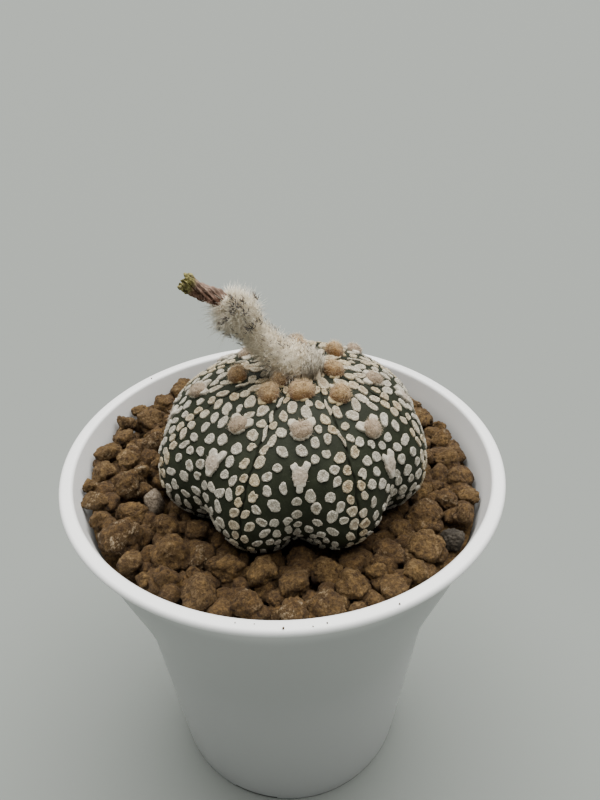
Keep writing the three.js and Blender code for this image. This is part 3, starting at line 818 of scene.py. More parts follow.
def white_plastic():
    """White, and duller below the soil's level, where the dark filling shows through the thin wall and
    painted shade darkens the outer wall.
    """
    material, tree = new_material("white_plastic")
    cloud = mottled(tree, 0.03, (0.3, (0.84, 0.85, 0.84)), (0.7, (0.89, 0.9, 0.89)), detail=2)
    # Dull grey low on the wall: partly the filling seen through the thin plastic, partly painted shade on the
    # outer wall
    wall = mixed(tree, cloud, (0.54, 0.55, 0.545), by_height(tree, *DULL_SHADED_WALL))
    surface(
        tree, wall, (grain(tree, 0.9, 3), 0.02, 0.5),
        Roughness=0.36, Subsurface_Weight=0.1, Subsurface_Scale=0.003, Subsurface_Radius=(1, 0.95, 0.9),
    )
    return material


def baked_clay():
    """Painted red is a lighter granule, green one with more pale crust and painted glints, blue a darker one;
    the whole lower layer is painted darker, as painted shade in the gaps.
    """
    material, tree = new_material("baked_clay")
    light, paler, dark = painted(tree, "tint")
    body = mottled(
        tree, 0.35,
        (0.32, (0.096, 0.053, 0.0178)),
        (0.5, (0.138, 0.082, 0.0295)),
        (0.68, (0.184, 0.116, 0.046)),
        rough=0.65,
    )
    lighter = mixed(tree, body, (0.23, 0.15, 0.063), times(tree, light, 0.45))
    darker = mixed(tree, lighter, (0.08, 0.044, 0.0175), times(tree, dark, 0.45))
    lumps = times(tree, grain(tree, 0.85, 6, 0.76), 0.62)
    fine = times(tree, grain(tree, 2.2, 4, 0.8), 0.38)
    height = sums(tree, "ADD", lumps, fine)
    # Painted shade in the pits and painted glints on the crumb tops, both taken from the relief's height
    shades = ramp(
        tree, height,
        (0.4, (0.27, 0.21, 0.155)),
        (0.465, (0.72, 0.66, 0.55)),
        (0.53, (1.06, 1.02, 0.9)),
        (0.6, (1.85, 1.75, 1.45)),
    )
    # Pale patches on the crumb tops: partly real pale crust, partly painted glints
    crust_and_glints = times(tree, rising(tree, height, 0.515, 0.575), rising(tree, grain(tree, 0.22, 2), 0.53, 0.61))
    pale = times(tree, crust_and_glints, sums(tree, "ADD", paler, 0.15))
    colour = mixed(tree, shaded(tree, darker, shades), (0.42, 0.33, 0.21), pale)
    surface(tree, colour, (height, 2.4, 1.0), Roughness=0.85, Specular_IOR_Level=0.35)
    return material


def smooth_stone(name, dark, light):
    material, tree = new_material(name)
    cloud = mottled(tree, 0.5, (0.3, dark), (0.7, light))
    speck = mottled(tree, 2.6, (0.4, (0.5, 0.47, 0.43)), (0.56, (1.15, 1.15, 1.15)), rough=0.75)
    relief = (grain(tree, 2.0, 5, 0.7), 0.4, 0.8)
    surface(tree, shaded(tree, cloud, speck), relief, Roughness=0.8, Specular_IOR_Level=0.3)
    return material


def cactus_green():
    """A dull green, darker towards the crown as painted shade, with tiny pale dots. Painted crease is painted
    shade, near black, in the creases.
    """
    material, tree = new_material("cactus_green")
    crease = painted(tree, "crease")[0]
    skin = mottled(
        tree, 0.35,
        (0.3, (0.0112, 0.0138, 0.0064)),
        (0.55, (0.018, 0.0215, 0.0105)),
        (0.75, (0.0275, 0.032, 0.0175)),
        detail=5,
    )
    # Painted shade: the skin darkens towards the crown
    crown = times(tree, by_height(tree, *SHADED_CROWN), 0.6)
    dots = times(tree, rising(tree, grain(tree, 5.0, 1), 0.66, 0.74), 0.3)
    dotted = mixed(tree, mixed(tree, skin, (0.0085, 0.0105, 0.005), crown), (0.1, 0.11, 0.085), dots)
    # Painted shade in the creases: the grooves are mixed to near black
    colour = mixed(tree, dotted, (0.01, 0.011, 0.006), crease)
    surface(tree, colour, (grain(tree, 2.2, 5, 0.65), 0.12, 0.6), Roughness=0.68, Specular_IOR_Level=0.17)
    return material


def chalk_wool():
    """Painted red is how cream a fleck is, green its worn middle."""
    material, tree = new_material("chalk_wool")
    creamy, worn, _ = painted(tree, "tint")
    white = mottled(tree, 1.6, (0.35, (0.56, 0.53, 0.44)), (0.62, (0.86, 0.83, 0.72)))
    cream = mottled(tree, 1.6, (0.35, (0.56, 0.44, 0.25)), (0.62, (0.88, 0.765, 0.52)))
    middle = mixed(tree, (0.34, 0.27, 0.19), (0.34, 0.2, 0.08), creamy)
    centre = mixed(tree, mixed(tree, white, cream, creamy), middle, times(tree, worn, 0.8))
    lumps = times(tree, grain(tree, 3.2, 4, 0.8), 0.6)
    height = sums(tree, "ADD", lumps, times(tree, crumbs(tree, 3.4), 0.4))
    grit = ramp(tree, height, (0.4, (0.56, 0.54, 0.5)), (0.49, (0.92, 0.91, 0.89)), (0.6, (1.1, 1.1, 1.09)))
    surface(
        tree, shaded(tree, centre, grit), (height, 0.5, 1.0),
        Roughness=0.95, Specular_IOR_Level=0.12, Sheen_Weight=0.2, Sheen_Roughness=0.6,
    )
    return material


def button_wool():
    """Painted red is the top of a knob or the middle of a pad, green is a pad, blue is its row on the rib."""
    material, tree = new_material("button_wool")
    top, is_pad, row = painted(tree, "tint")
    golden = mottled(tree, 1.6, (0.3, (0.19, 0.09, 0.03)), (0.65, (0.3, 0.16, 0.058)))
    tan = mottled(tree, 1.6, (0.3, (0.33, 0.205, 0.09)), (0.65, (0.5, 0.35, 0.18)))
    grey = mottled(tree, 1.6, (0.3, (0.28, 0.205, 0.14)), (0.65, (0.45, 0.36, 0.265)))
    pale = mottled(tree, 2.2, (0.35, (0.37, 0.3, 0.225)), (0.62, (0.61, 0.525, 0.42)))
    yellow = mottled(tree, 1.3, (0.3, (0.44, 0.33, 0.16)), (0.65, (0.66, 0.55, 0.34)))
    white = mottled(tree, 1.3, (0.3, (0.46, 0.42, 0.335)), (0.65, (0.68, 0.635, 0.53)))
    grit = mottled(tree, 4.2, (0.36, (0.58, 0.56, 0.53)), (0.55, (1.04, 1.04, 1.03)), rough=0.75)
    second = sums(tree, "MINIMUM", times(tree, row, 1.8), 1.0)
    third = sums(tree, "MAXIMUM", sums(tree, "SUBTRACT", times(tree, row, 2.0), 1.0), 0.0)
    knobs = mixed(tree, mixed(tree, mixed(tree, golden, tan, top), grey, second), pale, third)
    pads = mixed(tree, mixed(tree, yellow, white, second), pale, top)
    surface(
        tree, shaded(tree, mixed(tree, knobs, pads, is_pad), grit), (grain(tree, 4.0, 5, 0.75), 0.3, 0.9),
        Roughness=0.95, Specular_IOR_Level=0.12, Sheen_Weight=0.3, Sheen_Roughness=0.5,
    )
    return material


def hair_finish(name, root, tip, other_tip=None, shade=(0.42, 0.38, 0.32)):
    """Fine hair, coloured from root to tip. Some hairs are darker, and some may have another tip."""
    material, tree = new_material(name)
    along, dark, other = painted(tree, "tint")
    ends = mixed(tree, tip, other_tip or tip, other)
    base = mixed(tree, root, ends, sums(tree, "POWER", along, 0.6))
    colour = mixed(tree, base, shaded(tree, base, shade), dark)
    surface(tree, colour, Roughness=0.7, Specular_IOR_Level=0.3, Sheen_Weight=0.3)
    return material


def dry_petal():
    """Painted red is an olive tip, green the paler, pinkish-grey upper side, blue painted shade in the hollow
    of the closed tips.
    """
    material, tree = new_material("dry_petal")
    at_tip, upper_side, hollow = painted(tree, "tint")
    brown = mottled(
        tree, 1.0,
        (0.3, (0.034, 0.017, 0.01)),
        (0.48, (0.125, 0.06, 0.037)),
        (0.66, (0.33, 0.2, 0.14)),
        detail=5, rough=0.7,
    )
    olive = mottled(
        tree, 1.6,
        (0.34, (0.05, 0.038, 0.012)),
        (0.52, (0.19, 0.165, 0.05)),
        (0.68, (0.44, 0.41, 0.17)),
    )
    paler = mixed(tree, brown, (0.3, 0.22, 0.17), times(tree, upper_side, 0.5))
    # Painted shade: the hollow inside the closed tips is mixed to near black
    colour = mixed(tree, mixed(tree, paler, olive, at_tip), (0.03, 0.018, 0.01), hollow)
    surface(tree, colour, (grain(tree, 3.0, 5, 0.7), 0.2, 0.9), Roughness=0.75, Specular_IOR_Level=0.35)
    return material


# Pot
def arc_points(centre, radius, start, end, steps):
    """Points on a round corner, from one angle to another in degrees."""
    angles = [math.radians(lerp(start, end, step / steps)) for step in range(steps + 1)]
    return [(centre[0] + radius * math.cos(a), centre[1] + radius * math.sin(a)) for a in angles]


def pot_outline():
    """Radius and height round the pot's section, from its underside over the lip to its floor."""
    lip_bottom = POT_HEIGHT - LIP_THICKNESS
    lip_inner = RIM_RADIUS - LIP_WIDTH
    fillet_start = lip_bottom - LIP_FILLET
    inner_ring = FOOT_RADIUS - FOOT_RING_WIDTH
    outside = [(pot_radius(height), height) for height in np.linspace(3, fillet_start, 26)]
    inside = [(pot_inside(height), height) for height in np.linspace(fillet_start - 0.4, FLOOR_TOP + 2, 26)]
    return [
        (0.5, FLOOR_UNDER),
        (20, FLOOR_UNDER),
        (inner_ring - 1, FLOOR_UNDER),
        *arc_points((inner_ring - 1, FLOOR_UNDER - 0.6), 0.6, 90, 0, 4),
        (inner_ring - 0.2, 0.3),
        (inner_ring + 0.1, 0),
        *arc_points((FOOT_RADIUS - 0.5, 0.5), 0.5, -90, 0, 4),
        *outside,
        *arc_points((pot_radius(fillet_start) + LIP_FILLET, fillet_start), LIP_FILLET, 165, 105, 5),
        *arc_points((RIM_RADIUS - 0.5, lip_bottom + 0.5), 0.5, -90, 0, 4),
        *arc_points((RIM_RADIUS - 0.9, POT_HEIGHT - 0.9), 0.9, 0, 90, 6),
        *arc_points((lip_inner + 0.9, POT_HEIGHT - 0.9), 0.9, 90, 180, 6),
        *inside,
        *arc_points((pot_inside(FLOOR_TOP) - 1.5, FLOOR_TOP + 1.5), 1.5, 0, -90, 4),
        (12, FLOOR_TOP),
        (0.5, FLOOR_TOP),
    ]


def cut_away(piece, cutter):
    """A Boolean cut that is applied."""
    cut = piece.modifiers.new("cut", "BOOLEAN")
    cut.operation = "DIFFERENCE"
    cut.object = cutter
    cut.solver = "EXACT"
    bpy.context.view_layer.objects.active = piece
    bpy.ops.object.modifier_apply(modifier=cut.name)
    discard(cutter)


def plastic_pot():
    """A turned shell, its floor pierced by drain holes and its foot ring notched."""
    outline = pot_outline()
    radius, height = outline[0]
    bpy.ops.mesh.primitive_circle_add(
        vertices=POT_SIDES, radius=radius * MM, fill_type="TRIFAN", location=(0, 0, height * MM)
    )
    piece = bpy.context.object
    piece.name = "plastic_pot"
    bpy.ops.object.transform_apply(location=True)
    bpy.ops.object.mode_set(mode="EDIT")
    bpy.ops.mesh.select_all(action="DESELECT")
    bpy.ops.mesh.select_mode(type="EDGE")
    bpy.ops.mesh.select_non_manifold()
    for before, after in zip(outline, outline[1:]):
        extruded_ring(before, after, MM)
    bpy.ops.mesh.edge_face_add()
    bpy.ops.mesh.poke()
    bpy.ops.mesh.select_all(action="SELECT")
    bpy.ops.mesh.normals_make_consistent(inside=False)
    bpy.ops.mesh.select_mode(type="VERT")
    back_to_object()
    drains = [(0, 0)]
    for hole in range(DRAIN_COUNT):
        angle = (hole + 0.5) * TAU / DRAIN_COUNT
        drains.append((DRAIN_RING * math.cos(angle), DRAIN_RING * math.sin(angle)))
    for x, y in drains:
        bpy.ops.mesh.primitive_cylinder_add(
            vertices=DRAIN_SIDES, radius=DRAIN_RADIUS * MM, depth=4 * MM,
            location=(x * MM, y * MM, FLOOR_TOP * MM),
        )
        cut_away(piece, bpy.context.object)
    for notch in range(NOTCH_COUNT):
        angle = NOTCH_ANGLE + notch * TAU / NOTCH_COUNT
        place = (FOOT_RADIUS * MM * math.cos(angle), FOOT_RADIUS * MM * math.sin(angle), 0)
        bpy.ops.mesh.primitive_cube_add(size=1, location=place, rotation=(0, 0, angle))
        cutter = bpy.context.object
        cutter.scale = (4 * FOOT_RING_WIDTH * MM, NOTCH_WIDTH * MM, 2 * NOTCH_HEIGHT * MM)
        cut_away(piece, cutter)
    bpy.ops.object.select_all(action="DESELECT")
    piece.select_set(True)
    bpy.context.view_layer.objects.active = piece
    bpy.ops.object.shade_smooth_by_angle(angle=math.radians(35))
    piece.select_set(False)
    finish(piece, white_plastic(), "white_plastic", "pot")


# Soil
def lump_shape(number, subdivisions, roughness=1.0, facets=11, nearest=0.66):
    """A broken lump: a ball cut flat by a few planes, with its surface crumbled and pitted."""
    bpy.ops.mesh.primitive_ico_sphere_add(subdivisions=subdivisions, radius=1, location=(0, 0, 0))
    piece = bpy.context.object
    random = seeded(500 + number)
    ball = corners_of(piece)
    planes = []
    for _ in range(facets):
        up = 2 * random() - 1
        turn = TAU * random()
        flat = math.sqrt(1 - up * up)
        planes.append((flat * math.cos(turn), flat * math.sin(turn), up, lerp(nearest, 0.96, random())))
    planes = np.array(planes)
    facing = np.maximum(ball @ planes[:, :3].T, 0.05)
    reach = (np.sum((facing / planes[:, 3]) ** 16, axis=1) + 1.1**-16) ** (-1 / 16)
    offset = Vector((random(), random(), random())) * 60
    for corner, direction in enumerate(ball):
        spot = Vector(direction) * reach[corner]
        crumble = noise.fractal(spot * 1.5 + offset, 0.75, 2.1, 4)
        knobs = 0.5 - noise.voronoi(spot * 3.4 + offset)[0][0]
        grit = noise.noise(spot * 7 + offset)
        pit = max(0.0, 0.34 - noise.voronoi(spot * 1.7 + offset)[0][0]) / 0.34
        reach[corner] *= 1 + roughness * (0.1 * crumble + 0.22 * knobs + 0.07 * grit - 0.17 * pit)
    move_corners(piece, ball * reach[:, None])
    return taken_shape(piece)


def turned_copy(shape, place, size, random):
    """A copy of a shape at its own size, turned at random."""
    corners, faces = shape
    turn = Matrix.Rotation(TAU * random(), 3, "X") @ Matrix.Rotation(TAU * random(), 3, "Z")
    turn = np.array(turn @ Matrix.Rotation(TAU * random(), 3, "Y"))
    stretch = np.array([lerp(0.86, 1.14, random()), lerp(0.86, 1.14, random()), lerp(0.82, 1.0, random())])
    return (corners @ turn.T) * stretch * size + place, faces


def clay_granules():
    """Two layers of granules: the upper one is lighter, larger and finer in shape, and the lower one is
    darker, as painted shade in the gaps of the upper one.
    """
    random = seeded(91)
    clay = baked_clay()
    shapes = [lump_shape(number, 4) for number in range(GRANULE_SHAPES)]
    small_shapes = [lump_shape(number + 40, 3) for number in range(4)]
    for name, places, choice, size_share, light, dark in (
        ("upper_granules", granule_places(), shapes, 0.96, 1, 0),
        # The lower layer's tints make it darker: painted shade deep between the upper granules
        ("lower_granules", lower_granule_places(), small_shapes, 1.05, 0.3, 0.6),
    ):
        copies, tints = [], []
        for place, size in places:
            shape = choice[int(random() * len(choice)) % len(choice)]
            copies.append(turned_copy(shape, place, size * size_share, random))
            tint = (random() * light, random() ** 2 * light, random() + dark)
            tints.append(np.tile(tint, (len(shape[0]), 1)))
        finish(joined_copies(name, copies, tints), clay, "clay_granules", "soil")


def soil_filling():
    """The packed soil below the loose top, down to the pot's floor, with the hole for the root."""
    top = SOIL_LEVEL - FILLING_DEPTH
    rings = [(radius, top) for radius in np.linspace(0.2, pot_inside(top) - 0.5, 24)]
    walls = [(pot_inside(height) - GAP, height) for height in np.linspace(top - 4, 6, 16)]
    floor = [(pot_inside(FLOOR_TOP) - 1.8, FLOOR_TOP + GAP), (0.2, FLOOR_TOP + GAP)]
    outline = rings + walls + floor

    def place(across, along):
        radius, height = outline_point(outline, along)
        row = along * (len(outline) - 1)
        turn = across * TAU
        on_top = row < len(rings) - 1
        rough = np.where(on_top, 0.5 * np.sin(9 * turn + radius) * np.sin(0.7 * radius), 0)
        root = np.exp(-((np.maximum(radius - 9, 0) / 3) ** 2)) * on_top
        centre = np.where(row < len(rings), 1, 0) * (1 - radius / 45).clip(0, 1)
        middle = (ROOT_CENTRE[0] * centre, ROOT_CENTRE[1] * centre)
        return turned_out(middle, radius, turn, height + rough - 12 * root)

    piece = bent_grid("soil_filling", FILLING_SIDES, len(outline) - 1, place, merge=1e-7, smooth=False)
    paint_all(piece, "tint", 0)
    finish(piece, bpy.data.materials["baked_clay"], "clay_granules", "soil")


def odd_stones():
    """The pale stone and the darker, rougher one."""
    random = seeded(64)
    pale_colours = ((0.11, 0.085, 0.058), (0.24, 0.195, 0.145))
    dark_colours = ((0.02, 0.016, 0.011), (0.06, 0.05, 0.037))
    for name, (place, size, number), node, stretch, rough, colours in (
        ("pale_pebble", PALE_STONE, "pale_stone", (0.82, 0.95, 1.2), 0.3, pale_colours),
        ("dark_pebble", DARK_STONE, "dark_stone", (1, 0.85, 1), 0.75, dark_colours),
    ):
        shape = lump_shape(number + 70, 5, roughness=rough, facets=9, nearest=0.92 - 0.3 * rough)
        corners, faces = turned_copy(shape, (0, 0, 0), size * 0.9, random)
        piece = joined_copies(name, [(corners * stretch + place, faces)])
        finish(piece, smooth_stone(name, *colours), node, node)


def lip_crumbs():
    """Specks of clay left on the lip."""
    random = seeded(15)
    shape = lump_shape(90, 2)
    copies = []
    for turn, radius, size in LIP_CRUMBS:
        place = turned_out((0, 0), radius, math.radians(turn), POT_HEIGHT + 0.5 * size)
        copies.append(turned_copy(shape, place, size, random))
    tints = [np.tile((0.0, 0.0, 1.0), (len(copies) * len(shape[0]), 1))]
    piece = joined_copies("lip_crumbs", copies, tints)
    finish(piece, bpy.data.materials["baked_clay"], "clay_granules", "soil")


# Cactus
BODY_COLUMNS = 52
BODY_ROWS = 126


def crease_shape(down, turn, arc):
    """How far into the crease a place is, from 0 to 1."""
    phase = rib_phase(turn) - math.pi
    offset = np.abs(np.sin(phase / 2)) * 2 / RIBS * meridian(down)[0]
    wander = 0.16 * np.sin(arc * 0.9 + 3 * turn) + 0.1 * np.sin(arc * 2.3)
    depth = np.exp(-(((offset + wander * np.sign(phase)) / CREASE_HALF_WIDTH) ** 2))
    inside = np.where(np.cos(phase) > 0, depth, 0)
    return inside * smoothstep((arc - CREASE_START / 2) / CREASE_START)


def body_skin():
    """The ribbed body with its creases, its columns closer together along the creases."""
    narrow = 0.72

    def place(across, along):
        step = across * RIBS
        rib = np.minimum(np.floor(step), RIBS - 1).astype(int)
        share = step - rib
        share = share + narrow / TAU * np.sin(TAU * share)
        turn = RIB_ANGLES[0] + lerp(RIB_STARTS[rib], RIB_STARTS[rib + 1], share)
        arc = along * ARC_LENGTHS[-1]
        down = np.clip(np.interp(arc, ARC_LENGTHS, SLICE_EDGES), 1e-4, math.pi - 1e-4)
        crown = 0.9 * np.exp(-((arc / 3.5) ** 2))
        crease = crease_shape(down, turn, arc)
        return skin_point(down, turn) + skin_normal(down, turn) * (crown - CREASE_DEPTH * crease)[:, None]

    piece = bent_grid("body_skin", BODY_COLUMNS * RIBS, BODY_ROWS, place, merge=2e-6)
    corners = corners_of(piece) / MM
    above = corners[:, 2] - WIDEST_HEIGHT
    lift = np.maximum(above, -TUCK) / DOME
    x = corners[:, 0] - BODY_X - CROWN_SHIFT * lift * lift
    turn = np.arctan2(corners[:, 1] - BODY_Y, x)
    down = np.arccos(np.clip(above / np.where(above > 0, DOME, TUCK), -1, 1))
    arc = np.interp(down, SLICE_EDGES, ARC_LENGTHS)
    # The crease's depth at each corner, painted as the share of painted shade in the creases
    crease = crease_shape(down, turn, arc)
    paint(piece.data, "crease", np.stack([crease, crease, crease], axis=1))
    finish(piece, cactus_green(), "cactus_skin", "cactus")


def root():
    """The tapered root, from inside the body down into the soil."""
    outline = [(0.2, 85.2), (8, 85.1), *ROOT_OUTLINE, (0.2, ROOT_TIP)]

    def place(across, along):
        radius, height = outline_point(outline, along)
        return placed(radius, height, across * TAU)

    piece = bent_grid("root", 32, 28, place)
    paint_all(piece, "crease", 0)
    finish(piece, bpy.data.materials["cactus_green"], "cactus_skin", "cactus")


# A fleck has a round shoulder and a sunken middle, and its foot is a little below the skin
FLECK_SIDES = 16
FLECK_RINGS = ((1, -0.8), (1.03, 0.4), (0.96, 0.92), (0.76, 1), (0.46, 0.66))


def outline_wobble(around, random, amount):
    """An uneven outline: shares of the radius round a pad."""
    wobble = np.ones_like(around)
    for waves, share in ((1, 0.5), (2, 1), (3, 0.9), (4, 0.5), (6, 0.4)):
        wobble += amount * share * (random() + 0.3) * np.sin(waves * around + TAU * random())
    return wobble


def fleck_outline(around, random):
    """The outline of one fleck as shares of its radius: jagged, and some pinched, pointed or bitten."""
    outline = outline_wobble(around, random, 0.07)
    jags = np.array([lerp(0.94, 1.06, random()) for _ in range(FLECK_SIDES)])
    outline *= jags[np.rint(around * FLECK_SIDES / TAU).astype(int) % FLECK_SIDES]
    kind = random()
    turn = TAU * random()
    if kind < 0.12:
        outline *= 1.1 + 0.24 * np.cos(2 * around)
    elif kind < 0.37:
        outline *= 1 + 0.3 * np.maximum(np.cos(around), 0) ** 6
    elif kind < 0.55:
        away = np.angle(np.exp(1j * (around - turn)))
        outline -= lerp(0.2, 0.5, random()) * np.exp(-((away / 0.42) ** 2))
    return outline


def wool_flecks(flecks):
    """Every fleck has an outline, a tilt, a rise and lumps of its own."""
    corners, faces = ringed_pad(FLECK_SIDES, FLECK_RINGS)
    copies, tints = [], []
    reach = np.hypot(corners[:, 0], corners[:, 1])
    around = np.arctan2(corners[:, 1], corners[:, 0])

    def lumps(long, short, seed):
        return np.array([noise.noise(Vector((x * 1.9, y * 1.9, 9 * seed))) for x, y in zip(long, short)])

    for fleck in flecks:
        random = seeded(int(fleck["seed"] * 1e6))
        outline = reach * fleck_outline(around, random) * fleck["size"]
        stretch = math.sqrt(fleck["long"])
        long = outline * np.cos(around) * stretch
        bend = 0.12 * np.sin(2.4 * long) if fleck["long"] > 3 else 0
        short = outline * np.sin(around) / stretch + bend
        lean = fleck["lean"]
        downward = long * math.cos(lean) - short * math.sin(lean)
        sideways = long * math.sin(lean) + short * math.cos(lean)
        tilt = 0.08 * (random() - 0.5) * downward + 0.08 * (random() - 0.5) * sideways
        rise = FLECK_RISE * lerp(0.7, 1.3, random())
        worn = random() ** lerp(1.4, 0.35, fleck["cream"])
        middle = np.clip(1 - (reach - 0.3) / 0.45, 0, 1) * worn
        height = corners[:, 2] * rise * (1 + 0.4 * lumps(long, short, fleck["seed"])) * (1 - 0.45 * middle)
        height += tilt * (corners[:, 2] > 0)
        copies.append((on_skin(fleck, downward, sideways, height), faces))
        tints.append(np.stack([np.full_like(reach, fleck["cream"]), middle, np.zeros_like(reach)], axis=1))
    finish(joined_copies("wool_flecks", copies, tints), chalk_wool(), "cactus_skin", "cactus")


# Buttons are drawn out of rings: each ring's radius, and its height on a pad and on a knob
PAD_SIDES = 60
PAD_RINGS = (1, 1, 0.985, 0.94, 0.87, 0.78, 0.66, 0.52, 0.36, 0.18)
PAD_PROFILE = (-0.5, 0.25, 0.6, 0.86, 0.98, 1, 1, 1, 1, 1)
KNOB_PROFILE = (-0.5, 0.1, 0.24, 0.38, 0.53, 0.67, 0.8, 0.9, 0.965, 1)

# By row down the rib: the knob's width, taper, height and foot, its roughness, and the pad's rise
KNOB_WIDTHS = (0.95, 0.93, 0.72)
KNOB_TAPERS = (0.06, 0.2, 0.15)
KNOB_HEIGHTS = (2.3, 1.4, 0.4)
KNOB_FEET = (0.0, 0.2, 0.3)
KNOB_LUMPS = (0.2, 0.17, 0.18)
PAD_RISES = (0.42, 0.6, 0.62)


def disc_reach(around, discs):
    """The outline of a union of discs round the middle: each is a direction, a distance and a radius."""
    power = 9
    total = np.zeros_like(around)
    for direction, distance, radius in discs:
        away = around - direction
        inside = radius**2 - (distance * np.sin(away)) ** 2
        far = distance * np.cos(away) + np.sqrt(np.maximum(inside, 0))
        total += np.where((inside > 0) & (far > 0), np.maximum(far, 0), 0) ** power
    return total ** (1 / power)


def knob_points(button, reach, around, height):
    """Places on a button's knob, which is narrower downhill and leans."""
    order = button["order"]
    outward = reach * button["size"] * KNOB_WIDTHS[order]
    sideways = outward * np.sin(around) * (1 - KNOB_TAPERS[order] * np.cos(around)) * button["wide"]
    lean_down, lean_side = button["lean"]
    above = np.maximum(height, 0)
    return on_skin(button, outward * np.cos(around) + lean_down * above, sideways + lean_side * above, height)


def woolly_buttons(buttons):
    """Each is a felted knob on a pad: tufted and brown at the crown, with pale ears or prongs lower down."""
    corners, faces = ringed_pad(PAD_SIDES, [(radius, number) for number, radius in enumerate(PAD_RINGS)])
    around = np.arctan2(corners[:, 1], corners[:, 0])
    ring = np.rint(corners[:, 2]).astype(int).clip(0, len(PAD_RINGS) - 1)
    reach = np.hypot(corners[:, 0], corners[:, 1])
    upper = smoothstep((np.array(KNOB_PROFILE)[ring] - 0.3) / 0.7)
    copies, tints = [], []

    def raised(profile, number, amount):
        places = [Vector((x * 2.3, y * 2.3, 3.7 * number)) for x, y in corners[:, :2]]
        lumps = np.array([noise.fractal(place, 0.9, 2.2, 3) for place in places])
        return np.array(profile)[ring] * (1 + amount * lumps)

    def add(places, red, green, order):
        copies.append((places, faces))
        tints.append(np.stack([red, np.full_like(red, green), np.full_like(red, order / 2)], axis=1))

    for number, button in enumerate(buttons):
        random = seeded(700 + number)
        order, size = button["order"], button["size"]
        outline = disc_reach(around, button["discs"]) * outline_wobble(around, random, 0.04)
        jagged = 1 + 0.03 * np.sin(11 * around + TAU * random())
        jagged += 0.025 * np.sin(17 * around + TAU * random())
        pad = reach * outline * jagged * size
        sideways = pad * np.sin(around) * button["wide"]
        height = raised(PAD_PROFILE, number, 0.2) * PAD_RISES[order]
        inner = smoothstep((0.95 * size - pad) / (0.3 * size)) * (order == 2)
        add(on_skin(button, pad * np.cos(around), sideways, height), inner, 1, order)
        knob = reach * outline_wobble(around, random, 0.055)
        height = raised(KNOB_PROFILE, number + 50, KNOB_LUMPS[order]) * KNOB_HEIGHTS[order] + KNOB_FEET[order]
        add(knob_points(button, knob, around, height), upper, 0, order)
    finish(joined_copies("woolly_buttons", copies, tints), button_wool(), "cactus_skin", "cactus")


# Hair
def strand_shape(bends=2):
    """One hair along +Z, one long and one wide: a thin three-sided spike with rings between root and tip."""
    bpy.ops.mesh.primitive_cone_add(vertices=3, radius1=1, radius2=0, depth=1, location=(0, 0, 0.5))
    piece = bpy.context.object
    bpy.ops.object.transform_apply(location=True)
    for bend in range(1, bends + 1):
        pick_all()
        bpy.ops.mesh.bisect(plane_co=(0, 0, bend / (bends + 1)), plane_no=(0, 0, 1))
    back_to_object()
    corners = corners_of(piece)
    fuller = np.where(corners[:, 2] > 0.01, (1 - corners[:, 2]) ** -0.5, 1)
    fuller[corners[:, 2] > 0.99] = 1
    corners[:, :2] *= fuller[:, None]
    faces = triangles_of(piece)
    discard(piece)
    return corners, faces


def hairs(name, colours, nodes, bends, roots, ways, lengths, widths, curls, shades, other=None):
    """One hair copied to roots, along ways and curled by curls. other is the share of another tip."""
    corners, faces = strand_shape(bends)
    count = len(roots)
    ways = ways / np.linalg.norm(ways, axis=1, keepdims=True)
    helper = np.where(np.abs(ways[:, 2:3]) < 0.9, [[0.0, 0.0, 1.0]], [[1.0, 0.0, 0.0]])
    first = np.cross(ways, helper)
    first /= np.linalg.norm(first, axis=1, keepdims=True)
    second = np.cross(ways, first)
    along = corners[:, 2]
    places = (
        roots[:, None, :]
        + ways[:, None, :] * (along[None, :, None] * lengths[:, None, None])
        + first[:, None, :] * (corners[None, :, 0, None] * widths[:, None, None])
        + second[:, None, :] * (corners[None, :, 1, None] * widths[:, None, None])
        + curls[:, None, :] * (along[None, :, None] ** 2 * lengths[:, None, None])
    )
    triangles = (faces[None] + np.arange(count)[:, None, None] * len(corners)).reshape(-1, 3)
    other = np.zeros(count) if other is None else other
    rows = np.repeat(np.stack([shades, other], axis=1), len(along), axis=0)
    tint = np.concatenate([np.tile(along, count)[:, None], rows], axis=1)
    piece = joined_copies(name, [(places.reshape(-1, 3), triangles)], [tint])
    finish(piece, hair_finish(name, *colours), *nodes)


def button_hair(buttons):
    """The short felt of the knobs."""
    rng = np.random.default_rng(5)
    roots, ways, lengths, grey = [], [], [], []
    nowhere = np.zeros(1)
    for button in buttons:
        order = button["order"]
        count = KNOB_HAIRS[order]
        reach = np.sqrt(rng.uniform(0, 1, count))
        around = rng.uniform(0, TAU, count)
        height = np.interp(reach, PAD_RINGS[::-1], KNOB_PROFILE[::-1]) * KNOB_HEIGHTS[order] * 0.95
        height += KNOB_FEET[order]
        root = knob_points(button, reach * 0.97, around, height)
        roots.append(root)
        ways.append(root - on_skin(button, nowhere, nowhere, nowhere) + rng.normal(0, 1.0, root.shape))
        length = rng.uniform(0.3, KNOB_HAIR_LENGTHS[order], count)
        lengths.append(length + 0.35 * rng.uniform(0, 1, count) ** 4)
        grey.append(np.full(count, order / 2))
    roots, ways, lengths, grey = (np.concatenate(parts) for parts in (roots, ways, lengths, grey))
    curls = rng.normal(0, 0.35, roots.shape)
    shades = rng.uniform(0, 0.35, len(roots))
    widths = rng.uniform(0.019, 0.033, len(roots))
    colours = ((0.3, 0.165, 0.06), (0.74, 0.55, 0.3), (0.68, 0.62, 0.53))
    nodes = ("cactus_skin", "cactus")
    hairs("button_hair", colours, nodes, 1, roots, ways, lengths, widths, curls, shades, grey)


